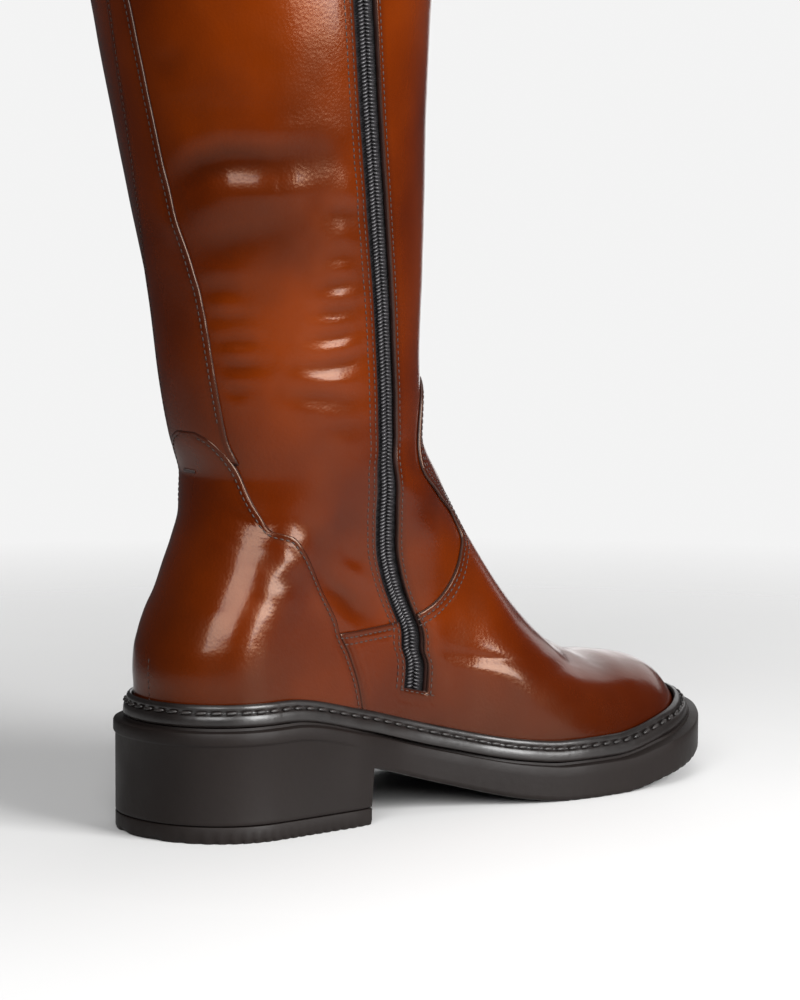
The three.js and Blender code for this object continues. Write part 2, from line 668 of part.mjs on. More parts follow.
const upperSolid = () => layerSolid(-WALL, 0).subtract(zipSlot);
const counterSolid = () =>
  layerSolid(CLEARANCE, CLEARANCE + COUNTER).intersect(counterBlock(0));

function vampSolid() {
  const top = lastLevel(VAMP_EDGE);
  const outline = blockSolid({
    levelList: [...evenLevels(0, 5, 0.62), ...evenLevels(5, top, 0.25).slice(1)],
    across: 18,
    from: (level) => -vampAround(level),
    to: (level) => vampAround(level),
    drop: BLOCK_DEPTH,
  });
  return withoutCrumbs(overlayLayer.intersect(outline).subtract(roundCounter).subtract(zipSlot));
}

function backStripSolid() {
  const foot = STRIP_EDGE[0].level;
  const outline = blockSolid({
    levelList: [...evenLevels(foot, 12, 0.4), ...evenLevels(12, COLLAR_LEVEL, 1).slice(1)],
    across: 6,
    from: (level) => stripAround(level),
    to: (level) => 1 - stripAround(level),
    lift: BLOCK_DEPTH,
  });
  return withoutCrumbs(overlayLayer.intersect(outline).subtract(roundCounter));
}

function weltSolid() {
  const form = makeForm();
  const seat = CLEARANCE + COUNTER + CLEARANCE;
  const levelRise = levels[1].backHeight - levels[0].backHeight;
  const sections = Array.from({ length: TURN_STEPS }, (_, i) =>
    WELT_SECTION.map((row) => {
      const turn = i / TURN_STEPS;
      const level = (row.up * WELT_HEIGHT) / levelRise;
      const outward = upperNormal(turn, level).setZ(0).normalize();
      const place = upperPoint(turn, level);
      place.addScaledVector(outward, seat + row.out * WELT_WIDTH);
      return [place.x, place.y, lipHeight(-place.y) + SEAT_CLEARANCE + row.up * WELT_HEIGHT];
    }),
  );
  sections.forEach((section, i) => {
    const next = sections[(i + 1) % TURN_STEPS];
    section.forEach((point, m) => {
      const n = (m + 1) % section.length;
      form.quad(point, section[n], next[n], next[m]);
    });
  });
  return form.solid();
}

function insoleSolid() {
  const half = TURN_STEPS / 2;
  const levelRise = levels[1].backHeight - levels[0].backHeight;
  const loop = (rise) => {
    const point = (turn) => {
      const inward = upperNormal(turn, rise / levelRise).setZ(0).normalize();
      const place = upperPoint(turn, rise / levelRise);
      place.addScaledVector(inward, -(WALL + 2 * CLEARANCE));
      return [place.x, place.y, lipHeight(-place.y) + SEAT_CLEARANCE + rise];
    };
    const inner = Array.from({ length: half + 1 }, (_, i) => point(0.5 * (1 - i / half)));
    const outer = Array.from({ length: half + 1 }, (_, i) => point(1 - (0.5 * i) / half));
    return [...inner, ...outer];
  };
  return stackedSolid([loop(0), loop(INSOLE)]);
}

// Zip. The tape lies behind the wall and the chain stands on it in the slot.
const tapeTop = -(WALL + CLEARANCE);
const chainFoot = tapeTop + CLEARANCE;
const chainTop = chainFoot + ZIP_CHAIN_DEPTH;
const zipTapeSolid = () =>
  layerSolid(tapeTop - ZIP_TAPE, tapeTop).intersect(
    zipBlock({
      foot: ZIP_FOOT_LEVEL - ZIP_END,
      top: COLLAR_LEVEL,
      width: ZIP_TAPE_WIDTH,
      lift: BLOCK_DEPTH,
    }),
  );
const zipTeethSolid = () =>
  layerSolid(chainFoot, chainTop).intersect(
    zipBlock({
      foot: ZIP_FOOT_LEVEL + ZIP_END / 4,
      top: COLLAR_LEVEL - ZIP_END / 4,
      width: ZIP_CHAIN,
    }),
  );

function plateOutline(width, length, radius) {
  const shape = new THREE.Shape();
  const x = width / 2 - radius;
  const y = length / 2 - radius;
  const quarter = Math.PI / 2;
  shape.absarc(x, -y, radius, -quarter, 0, false);
  shape.absarc(x, y, radius, 0, quarter, false);
  shape.absarc(-x, y, radius, quarter, 2 * quarter, false);
  shape.absarc(-x, -y, radius, 2 * quarter, 3 * quarter, false);
  shape.closePath();
  return shape;
}

function extrudedSolid(shape, depth, place) {
  const geometry = new THREE.ExtrudeGeometry(shape, {
    depth,
    bevelEnabled: false,
    curveSegments: 5,
  });
  geometry.applyMatrix4(place);
  const flat = geometry.index ? geometry.toNonIndexed() : geometry;
  const corner = flat.getAttribute("position");
  const form = makeForm();
  const point = (i) => [corner.getX(i), corner.getY(i), corner.getZ(i)];
  for (let i = 0; i < corner.count; i += 3) form.triangle(point(i), point(i + 1), point(i + 2));
  return form.solid();
}

// The slider in its own frame: x across the zip, y up the shaft, z out of it. Its bridge
// is an arch along the zip.
const BRIDGE_SINK = 0.4; // how far the arch's legs run into the plate
function sliderSolid() {
  const plate = extrudedSolid(
    plateOutline(SLIDER_WIDTH, SLIDER_LENGTH, 2.4),
    SLIDER_PLATE,
    new THREE.Matrix4(),
  );
  const side = new THREE.Shape();
  const reach = BRIDGE_LENGTH / 2;
  const inside = reach - BRIDGE_BAR;
  side.moveTo(-reach, -BRIDGE_SINK);
  side.lineTo(-inside, -BRIDGE_SINK);
  side.lineTo(-inside, BRIDGE_HEIGHT - BRIDGE_BAR);
  side.lineTo(inside, BRIDGE_HEIGHT - BRIDGE_BAR);
  side.lineTo(inside, -BRIDGE_SINK);
  side.lineTo(reach, -BRIDGE_SINK);
  side.lineTo(reach, BRIDGE_HEIGHT);
  side.lineTo(-reach, BRIDGE_HEIGHT);
  side.closePath();
  // The bridge's side view lies in the y-z plane and is as thick as the bridge is wide.
  const upright = new THREE.Matrix4().makeBasis(
    new THREE.Vector3(0, 1, 0),
    new THREE.Vector3(0, 0, 1),
    new THREE.Vector3(1, 0, 0),
  );
  upright.setPosition(-BRIDGE_WIDTH / 2, 0, SLIDER_PLATE);
  return plate.add(extrudedSolid(side, BRIDGE_WIDTH, upright));
}

// The pull in its own frame: its top rim is the pin, on the x axis, and lies under the
// arch. Its eye clears the arch's leg.
function pullSolid() {
  const shape = plateOutline(PULL_WIDTH, PULL_LENGTH, PULL_WIDTH * 0.3);
  const eye = new THREE.Path();
  const x = PULL_EYE_WIDTH / 2;
  const top = PULL_LENGTH / 2 - PULL_EYE_RIM;
  eye.moveTo(-x, top);
  eye.lineTo(-x, top - PULL_EYE_LENGTH);
  eye.lineTo(x, top - PULL_EYE_LENGTH);
  eye.lineTo(x, top);
  eye.closePath();
  shape.holes.push(eye);
  const hanging = new THREE.Matrix4().makeTranslation(
    0,
    PULL_EYE_RIM / 2 - PULL_LENGTH / 2,
    -PULL_THICKNESS / 2,
  );
  return extrudedSolid(shape, PULL_THICKNESS, hanging);
}

const root = new THREE.Group();
const boot = new THREE.Group();
root.add(boot);

function material(color, roughness, metalness) {
  return new THREE.MeshStandardMaterial({ color, roughness, metalness });
}

function addMesh(parent, name, solid, finish) {
  const mesh = new THREE.Mesh(geometryOf(solid), finish);
  mesh.name = name;
  parent.add(mesh);
  return mesh;
}

const rubber = () => material(0x2a2422, 0.55, 0);
const leather = () => material(0x8a3f14, 0.3, 0);
const brownWelt = () => material(0x241a16, 0.4, 0);
const lining = () => material(0xb89066, 0.8, 0);
const blackTextile = () => material(0x17161a, 0.8, 0);
const darkMetal = () => material(0x4a4038, 0.35, 0.9);

addMesh(boot, "outsole", outsoleSolid(), rubber());
addMesh(boot, "heel_lift", heelLiftSolid(), rubber());
addMesh(boot, "welt", weltSolid(), brownWelt());
addMesh(boot, "insole", insoleSolid(), lining());
addMesh(boot, "upper", upperSolid(), leather());
addMesh(boot, "vamp", vampSolid(), leather());
addMesh(boot, "heel_counter", counterSolid(), leather());
addMesh(boot, "back_strip", backStripSolid(), leather());
addMesh(boot, "zip_tape", zipTapeSolid(), blackTextile());
addMesh(boot, "zip_teeth", zipTeethSolid(), blackTextile());

// Frame of the slider on the upper's surface, above the chain.
const slider = new THREE.Group();
const sliderTurn = zipAround(SLIDER_LEVEL);
const outward = upperNormal(sliderTurn, SLIDER_LEVEL);
const upward = upperPoint(sliderTurn, SLIDER_LEVEL + 0.05)
  .sub(upperPoint(sliderTurn, SLIDER_LEVEL - 0.05))
  .normalize();
const acrossZip = upward.clone().cross(outward).normalize();
slider.setRotationFromMatrix(
  new THREE.Matrix4().makeBasis(acrossZip, outward.clone().cross(acrossZip), outward),
);
slider.position
  .copy(upperPoint(sliderTurn, SLIDER_LEVEL))
  .addScaledVector(outward, chainTop + SLIDER_STAND);
boot.add(slider);
addMesh(slider, "zip_slider", sliderSolid(), darkMetal());
const pull = new THREE.Group();
pull.position.set(0, 0, SLIDER_PLATE + PULL_PIN_RISE);
slider.add(pull);
addMesh(pull, "zip_pull", pullSolid(), darkMetal());

boot.updateMatrixWorld(true);
const box = new THREE.Box3().setFromObject(boot);
boot.position.set(-(box.min.x + box.max.x) / 2, -(box.min.y + box.max.y) / 2, -box.min.z);

export default root;
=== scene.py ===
"""Knee-high leather boot for the left foot, dressed for the studio. Metres, toe towards -Y."""

from contextlib import contextmanager

import bmesh
import bpy
import numpy as np
from bpy.props import FloatProperty, FloatVectorProperty, PointerProperty
from mathutils import Matrix, Vector
from mathutils.kdtree import KDTree


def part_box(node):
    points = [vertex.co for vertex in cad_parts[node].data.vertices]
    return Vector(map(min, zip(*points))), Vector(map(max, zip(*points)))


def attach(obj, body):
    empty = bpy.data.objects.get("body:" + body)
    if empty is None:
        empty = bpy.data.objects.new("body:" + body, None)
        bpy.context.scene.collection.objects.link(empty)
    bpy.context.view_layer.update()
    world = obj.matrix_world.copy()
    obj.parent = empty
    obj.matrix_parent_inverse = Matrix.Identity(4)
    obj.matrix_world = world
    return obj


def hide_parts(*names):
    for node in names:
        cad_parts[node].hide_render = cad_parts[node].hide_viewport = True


bl_info = {
    "name": "Knee-high boot",
    "version": (1, 0, 0),
    "blender": (4, 5, 0),
    "location": "View3D > Sidebar > Boot",
    "description": "Builds the leather, sole, zip and stitching of a knee-high boot",
    "category": "Object",
}

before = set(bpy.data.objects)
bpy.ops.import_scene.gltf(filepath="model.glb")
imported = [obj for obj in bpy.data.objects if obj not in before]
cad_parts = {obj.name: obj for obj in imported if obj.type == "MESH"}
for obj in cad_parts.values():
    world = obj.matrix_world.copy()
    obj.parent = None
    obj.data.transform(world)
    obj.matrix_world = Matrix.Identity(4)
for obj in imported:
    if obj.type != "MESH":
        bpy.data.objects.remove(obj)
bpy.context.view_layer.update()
MM = 0.001


def table(columns, *rows):
    """Columns of a table of sizes, by name."""
    return dict(zip(columns.split(), np.array(rows, float).T))


def unit(vectors):
    return vectors / np.linalg.norm(vectors, axis=-1, keepdims=True)


@contextmanager
def edited(mesh):
    """A mesh open as a form, which is written back and freed at the end."""
    form = bmesh.new()
    form.from_mesh(mesh)
    yield form
    form.to_mesh(mesh)
    form.free()


def linked(name, data):
    """A new object in the scene."""
    made = bpy.data.objects.new(name, data)
    bpy.context.scene.collection.objects.link(made)
    return made


# Sole, in millimetres. "along" is the distance from the back of the sole to its toe.
SOLE_LENGTH = 275
SOLE_HALF_WIDTH = 51
HEEL_SEAT = 42
FOREFOOT_EDGE = 13.8
WAIST_EDGE = 12.6
TOE_SPRING = 13.8
HEEL_BREAST = 86
BREAST_SLOPE = 1.5
HEEL_ROUND = 38
TOE_ROUND = 48.5
HEEL_SQUARENESS = 2.2
TOE_SQUARENESS = 2.1
LIP_DEPTH = 4.6
COVE = 0.8
SOLE_SOFT_EDGE = 1.2
HEEL_LIFT = 6.5
LIFT_GROOVE = 0.6
LIFT_NOTCH_PITCH = 4.2
SEAT_CLEARANCE = 1
SEAT_INSET = 4.4

# Upper.
UPPER_SET_BACK = 9.2
UPPER_TOE_SET_BACK = 9.4
TOE_SEAT = 26.9
FOOT_HALF_WIDTH = 42.6
ANKLE_RISE = 89.7
INSTEP_RISE = 119.1
ANKLE_HALF_WIDTH = 38
SHAFT_RISE = 293
SHAFT_FRONT_RISE = 279
CALF_DEPTH = 141
CALF_HALF_WIDTH = 59.5
SHAFT_LEAN = 42
TOE_REACH = 44
HEEL_REACH = 31
UPPER_SQUARENESS = 2.15
SAG_LEVELS = 9

SOLE_WIDTHS = table(
    "along inner outer",
    (0.0, 0.753, 0.712),
    (0.13, 0.802, 0.745),
    (0.27, 0.767, 0.757),
    (0.38, 0.667, 0.78),
    (0.5, 0.757, 0.896),
    (0.6, 0.912, 0.994),
    (0.7, 0.976, 1.016),
    (0.84, 0.939, 0.959),
    (1.0, 0.769, 0.745),
)
SOLE_HEIGHTS = table(
    "along heel toe",
    (0.0, 1.0, 0),
    (0.164, 1.0, 0),
    (0.305, 0.734, 0),
    (0.44, 0.376, 0),
    (0.582, 0.064, 0),
    (0.647, 0, 0),
    (0.742, 0, 0),
    (0.851, 0, 0.348),
    (1.0, 0, 1.0),
)
# Levels of the foot from the sole's edge to the ankle.
FOOT_LEVELS = table(
    "back heel_rise front toe_rise ahead above behind width dip",
    (0.0273, 0.0, 0.9709, 0.0, 1.0, 0.68, 1.0, 0.816, 0.0),
    (0.0273, 0.108, 0.947, 0.081, 1.0, 0.64, 1.0, 0.816, 0.017),
    (0.0255, 0.197, 0.9236, 0.148, 1.0, 0.59, 1.0, 0.816, 0.042),
    (0.0273, 0.275, 0.887, 0.198, 1.0, 0.59, 1.0, 0.816, 0.059),
    (0.0345, 0.353, 0.836, 0.223, 1.0, 0.64, 1.0, 0.816, 0.05),
    (0.0455, 0.431, 0.767, 0.249, 1.0, 0.77, 1.0, 0.816, 0.042),
    (0.0636, 0.521, 0.6964, 0.32, 1.0, 0.91, 1.0, 0.842, 0.034),
    (0.0782, 0.621, 0.6236, 0.471, 1.02, 1.02, 1.03, 0.868, 0.017),
    (0.0945, 0.732, 0.56, 0.664, 1.05, 1.14, 1.1, 0.895, 0.0),
    (0.1073, 0.855, 0.5055, 0.84, 1.09, 1.36, 1.23, 0.947, 0.0),
    (0.1091, 1.0, 0.4673, 1.0, 1.14, 1.59, 1.42, 1.0, 0.0),
)
# Levels of the shaft from above the ankle to the collar.
SHAFT_LEVELS = table(
    "rise front_rise back depth width",
    (0.055, 0.057, 0.13, 0.715, 0.664),
    (0.13, 0.122, 0.238, 0.742, 0.689),
    (0.225, 0.208, 0.333, 0.77, 0.739),
    (0.341, 0.323, 0.5, 0.815, 0.815),
    (0.457, 0.437, 0.667, 0.859, 0.882),
    (0.573, 0.552, 0.833, 0.912, 0.941),
    (0.693, 0.677, 0.976, 0.972, 0.975),
    (0.846, 0.839, 1.0, 0.993, 0.992),
    (1.0, 1.0, 1.0, 1.0, 1.0),
)
FOOT_WIDTHS = table(
    "along inner outer",
    (0.0, 0.69, 0.66),
    (0.124, 0.74, 0.69),
    (0.262, 0.7, 0.705),
    (0.378, 0.65, 0.73),
    (0.502, 0.72, 0.864),
    (0.6, 0.876, 0.977),
    (0.698, 0.953, 1.0),
    (0.836, 0.908, 0.932),
    (0.975, 0.73, 0.73),
)
# Edges of the overlays. "around" is 0 at the front of the boot and 1 at its back.
VAMP_EDGE = table(
    "level around",
    (0.0, 0.67), (4.9, 0.67), (5.2, 0.617), (5.6, 0.567), (6.04, 0.507), (6.44, 0.45), (6.96, 0.373),
    (7.32, 0.317), (7.7, 0.25), (8.02, 0.187), (8.36, 0.177), (8.78, 0.23), (9.32, 0.273),
    (9.84, 0.247), (11.0, 0.19), (11.35, 0.13), (11.5, 0.05),
)
COUNTER_EDGE = table(
    "level around",
    (0.0, 0.63), (3.14, 0.627), (5.46, 0.627), (6.98, 0.653), (7.98, 0.693), (8.32, 0.717), (8.5, 0.77),
    (9.0, 0.803), (10.04, 0.85), (10.78, 0.89), (11.05, 0.93), (11.15, 0.97),
)
STRIP_EDGE = table(
    "level around",
    (10.4, 0.853), (10.88, 0.863), (12.04, 0.873), (13.12, 0.893), (14.14, 0.937), (15.56, 0.96),
    (17.0, 0.972), (19.0, 0.972),
)
ZIP_LINE = table(
    "level around",
    (2.0, 0.548), (4.8, 0.506), (6.35, 0.475), (7.6, 0.473), (8.5, 0.455), (10.2, 0.407), (11.7, 0.404),
    (14.1, 0.447), (15.8, 0.473), (17.2, 0.485), (19.0, 0.485),
)
COLLAR_LEVEL = 19


def curve_through(xs, ys):
    """A curve through points that rises and falls only where they do."""
    xs, ys = np.asarray(xs, float), np.asarray(ys, float)
    step = np.diff(xs)
    slope = np.diff(ys) / step

    def end_slope(h0, h1, s0, s1):
        found = ((2 * h0 + h1) * s0 - h0 * s1) / (h0 + h1)
        if np.sign(found) != np.sign(s0):
            return 0.0
        if np.sign(s0) != np.sign(s1) and abs(found) > 3 * abs(s0):
            return 3 * s0
        return found

    tangent = np.zeros_like(ys)
    tangent[0] = end_slope(step[0], step[1], slope[0], slope[1])
    tangent[-1] = end_slope(step[-1], step[-2], slope[-1], slope[-2])
    for i in range(1, len(ys) - 1):
        if slope[i - 1] * slope[i] > 0:
            before = 2 * step[i] + step[i - 1]
            after = step[i] + 2 * step[i - 1]
            tangent[i] = (before + after) / (before / slope[i - 1] + after / slope[i])

    def at(x):
        held = np.clip(x, xs[0], xs[-1])
        i = np.clip(np.searchsorted(xs, held, side="right") - 1, 0, len(xs) - 2)
        t = (held - xs[i]) / step[i]
        rest = 1 - t
        return (
            ys[i] * (1 + 2 * t) * rest**2
            + ys[i + 1] * (3 - 2 * t) * t**2
            + step[i] * (tangent[i] * t * rest**2 - tangent[i + 1] * rest * t**2)
        )

    return at


def eased_step(value, low, high):
    t = np.clip((value - low) / (high - low), 0, 1)
    return t * t * (3 - 2 * t)


def rounding(share, squareness):
    """0 on a form's edge, 1 at the distance where the form is full."""
    left = np.clip(1 - share, 0, 1)
    return (1 - left**squareness) ** (1 / squareness)


lip_height = curve_through(
    SOLE_HEIGHTS["along"] * SOLE_LENGTH,
    FOREFOOT_EDGE
    + SOLE_HEIGHTS["heel"] * (HEEL_SEAT - FOREFOOT_EDGE)
    + SOLE_HEIGHTS["toe"] * TOE_SPRING,
)
sole_inner = curve_through(SOLE_WIDTHS["along"], SOLE_WIDTHS["inner"] * SOLE_HALF_WIDTH)
sole_outer = curve_through(SOLE_WIDTHS["along"], SOLE_WIDTHS["outer"] * SOLE_HALF_WIDTH)


def sole_half_width(along, inset, widths):
    heel = rounding((along - inset) / (HEEL_ROUND - inset), HEEL_SQUARENESS)
    toe = rounding((SOLE_LENGTH - inset - along) / (TOE_ROUND - inset), TOE_SQUARENESS)
    return (widths(along / SOLE_LENGTH) - inset) * heel * toe


def cove_at(along):
    return COVE * (1 - eased_step(along, 0.6 * HEEL_BREAST, HEEL_BREAST))


def edge_thickness(along):
    return WAIST_EDGE + (FOREFOOT_EDGE - WAIST_EDGE) * eased_step(along, HEEL_BREAST, 2 * HEEL_BREAST)


def all_levels():
    """Every level of the upper in millimetres, from the sole's edge to the collar."""
    foot, shaft = FOOT_LEVELS, SHAFT_LEVELS
    ankle_back = UPPER_SET_BACK + (foot["back"][-1] - foot["back"][0]) * SOLE_LENGTH
    ankle_height = HEEL_SEAT + SEAT_CLEARANCE + ANKLE_RISE
    ankle_front_height = TOE_SEAT + INSTEP_RISE
    back = ankle_back - shaft["back"] * SHAFT_LEAN
    depth = shaft["depth"] * CALF_DEPTH
    toe = SOLE_LENGTH - UPPER_TOE_SET_BACK
    steady = np.ones_like(depth)
    pairs = {
        "back": (UPPER_SET_BACK + (foot["back"] - foot["back"][0]) * SOLE_LENGTH, back),
        "back_height": (
            HEEL_SEAT + SEAT_CLEARANCE + foot["heel_rise"] * ANKLE_RISE,
            ankle_height + shaft["rise"] * SHAFT_RISE,
        ),
        "front": (toe + (foot["front"] - foot["front"][0]) * SOLE_LENGTH, back + depth),
        "front_height": (
            TOE_SEAT + foot["toe_rise"] * INSTEP_RISE,
            ankle_front_height + shaft["front_rise"] * SHAFT_FRONT_RISE,
        ),
        "ahead": (foot["ahead"] * TOE_REACH, depth / 2),
        "above": (foot["above"] * TOE_REACH, steady * foot["above"][-1] * TOE_REACH),
        "behind": (foot["behind"] * HEEL_REACH, depth / 2),
        "width": (foot["width"] * ANKLE_HALF_WIDTH, shaft["width"] * CALF_HALF_WIDTH),
        "dip": (foot["dip"] * INSTEP_RISE, steady * 0),
    }
    return {name: np.concatenate(pair) for name, pair in pairs.items()}


levels = all_levels()
FIRST_RISE = levels["back_height"][1] - levels["back_height"][0]
at_level = {name: curve_through(range(COLLAR_LEVEL + 1), values) for name, values in levels.items()}
front_at_height = curve_through(levels["front_height"], levels["front"])
back_at_height = curve_through(levels["back_height"], levels["back"])
ahead_at_height = curve_through(levels["front_height"], levels["ahead"])
behind_at_height = curve_through(levels["back_height"], levels["behind"])
shaft_width = curve_through(levels["front_height"], levels["width"])
# Ridge of the foot from the ankle down to the toe, with a steep run-on above the ankle.
ridge = {name: levels[name][10::-1] for name in ("front", "front_height", "above")}
ridge_height = curve_through(
    [0.8 * ridge["front"][0], *ridge["front"]],
    [TOE_SEAT + INSTEP_RISE + SHAFT_RISE, *ridge["front_height"]],
)
ridge_reach = curve_through(ridge["front"], ridge["above"])
foot_inner = curve_through(FOOT_WIDTHS["along"], FOOT_WIDTHS["inner"] * FOOT_HALF_WIDTH)
foot_outer = curve_through(FOOT_WIDTHS["along"], FOOT_WIDTHS["outer"] * FOOT_HALF_WIDTH)


def side_place(level, share):
    """Place in the boot's side view of a level, from its back, share 0, to its front, 1."""
    back, back_height = at_level["back"](level), at_level["back_height"](level)
    along = back + (at_level["front"](level) - back) * share
    dip_share = share**2 * (1 - share**8) / 0.6
    chord = back_height + (at_level["front_height"](level) - back_height) * share
    first = {name: values[0] for name, values in levels.items()}
    edge_share = np.clip((along - first["back"]) / (first["front"] - first["back"]), 0, 1)
    edge_chord = first["back_height"] + (first["front_height"] - first["back_height"]) * edge_share
    sag = lip_height(along) + SEAT_CLEARANCE - edge_chord
    sag_share = np.clip(1 - level / SAG_LEVELS, 0, None) ** 1.4
    return along, chord - at_level["dip"](level) * dip_share + sag * sag_share


def room(along, height):
    return (
        front_at_height(height) - along,
        ridge_height(along) - height,
        along - back_at_height(height),
    )


def upper_half_width(level, share, is_inner):
    """Half width of the upper at a place, from its room to the ridge and to the back."""
    along, height = side_place(level, share)
    here, front, back = (
        room(*side_place(level, end)) for end in (share, np.ones_like(share), np.zeros_like(share))
    )
    ahead = np.maximum(here[0] - front[0] * share, 0) / ahead_at_height(height)
    below = np.maximum(here[1] - front[1] * share, 0) / ridge_reach(along)
    behind = np.maximum(here[2] - back[2] * (1 - share), 0) / behind_at_height(height)
    low, high = TOE_SEAT + 0.57 * INSTEP_RISE, TOE_SEAT + 0.91 * INSTEP_RISE
    ridge_share = 1 - eased_step(height, low, high)
    tiny = 1e-9
    pull = np.where(ridge_share > 0, ridge_share * np.maximum(below, tiny) ** -2.0, 0)
    inward = 1 / np.sqrt(np.maximum(ahead, tiny) ** -2.0 + pull)
    rounded = rounding(inward, UPPER_SQUARENESS) * rounding(behind, UPPER_SQUARENESS)
    low, high = HEEL_SEAT + 0.335 * ANKLE_RISE, HEEL_SEAT + 1.09 * ANKLE_RISE
    shaft_share = eased_step(height, low, high)
    place = along / SOLE_LENGTH
    foot = np.where(is_inner, foot_inner(place), foot_outer(place))
    return (foot * (1 - shaft_share) + shaft_width(height) * shaft_share) * rounded


def upper_point(turn, level):
    """Points of the upper's outside. turn: 0 front, 0.25 inner side, 0.5 back, 0.75 outer."""
    turn, level = np.broadcast_arrays(np.asarray(turn, float), np.asarray(level, float))
    whole = turn % 1
    share = (1 + np.cos(2 * np.pi * whole)) / 2
    along, height = side_place(level, share)
    is_inner = whole < 0.5
    is_middle = (share < 1e-9) | (share > 1 - 1e-9)
    across = np.where(is_middle, 0, upper_half_width(level, share, is_inner))
    return np.stack([np.where(is_inner, -across, across), -along, height], -1)


def upper_normal(turn, level):
    turn, level = np.broadcast_arrays(np.asarray(turn, float), np.asarray(level, float))
    low, high = np.clip(level - 0.03, 0, None), np.clip(level + 0.03, None, COLLAR_LEVEL)
    rise = upper_point(turn, high) - upper_point(turn, low)
    run = upper_point(turn + 0.003, level) - upper_point(turn - 0.003, level)
    normal = unit(np.cross(rise, run))
    normal[..., 2] *= eased_step(level, 0, 1)
    return unit(normal)


def level_outward(turn, level):
    """Direction out of the upper, kept level."""
    outward = upper_normal(turn, level)
    outward[..., 2] = 0
    return unit(outward)


def turns_across(width, turn, level):
    """Turns that a width in millimetres takes up on the surface."""
    step = 0.004
    run = np.linalg.norm(upper_point(turn + step, level) - upper_point(turn, level), axis=-1)
    return width * step / run


zip_around = curve_through(ZIP_LINE["level"], ZIP_LINE["around"] / 2)
vamp_around = curve_through(VAMP_EDGE["level"], VAMP_EDGE["around"] / 2)
counter_around = curve_through(COUNTER_EDGE["level"], COUNTER_EDGE["around"] / 2)
strip_around = curve_through(STRIP_EDGE["level"], STRIP_EDGE["around"] / 2)


# Leather layers, welt, insole and zip, in millimetres.
WALL = 2.2
CLEARANCE = 0.3
OVERLAY = 1.1
COUNTER = 1.5
WELT_WIDTH = 3.6
WELT_HEIGHT = 8.5
INSOLE = 3.2
ZIP_OPENING = 11
ZIP_CHAIN_DEPTH = 1.7
ZIP_TAPE_WIDTH = 26
ZIP_TAPE = 0.8
ZIP_FOOT_LEVEL = 2.3
ZIP_END = 0.6
# Columns beside a cut edge, in millimetres from it, and the edge's rounding.
EDGE_GAPS = np.array([0, 0.3, 0.8, 1.4, 1.9, 2.4, 3.2])
EDGE_ROUND = 0.8
# Columns of each sheet between its cut edges, and the millimetres between its rows.
UPPER_COLUMNS_BEHIND, UPPER_COLUMNS_AHEAD, UPPER_ROWS = 78, 88, 1.75
VAMP_COLUMNS_AHEAD, VAMP_COLUMNS_BEHIND, VAMP_ROWS = 180, 16, 1.5
COUNTER_COLUMNS, COUNTER_ROWS = 84, 1.5
STRIP_COLUMNS, STRIP_ROWS = 18, 1.9
TAPE_COLUMNS, TAPE_ROWS = 16, 1.6
SLOT_STEPS = 4
STITCH_INSET = 2.0
STITCH_GAP = 2.5
STITCH_SINK = 0.14
ZIP_STITCH_INSETS = (1.7, 4.3)
# Reach and steps of the search that sets a moved row back onto the surface.
SEARCH_TURN, SEARCH_TURN_STEPS = 0.05, 81
SEARCH_LEVEL, SEARCH_LEVEL_STEPS = 0.8, 41
# The collar's stitch row and the small bar at the back.
COLLAR_ROW_LEVEL = COLLAR_LEVEL - 0.12
BAR_LEVEL = 10.22
BAR_TURNS = (0.504, 0.53)

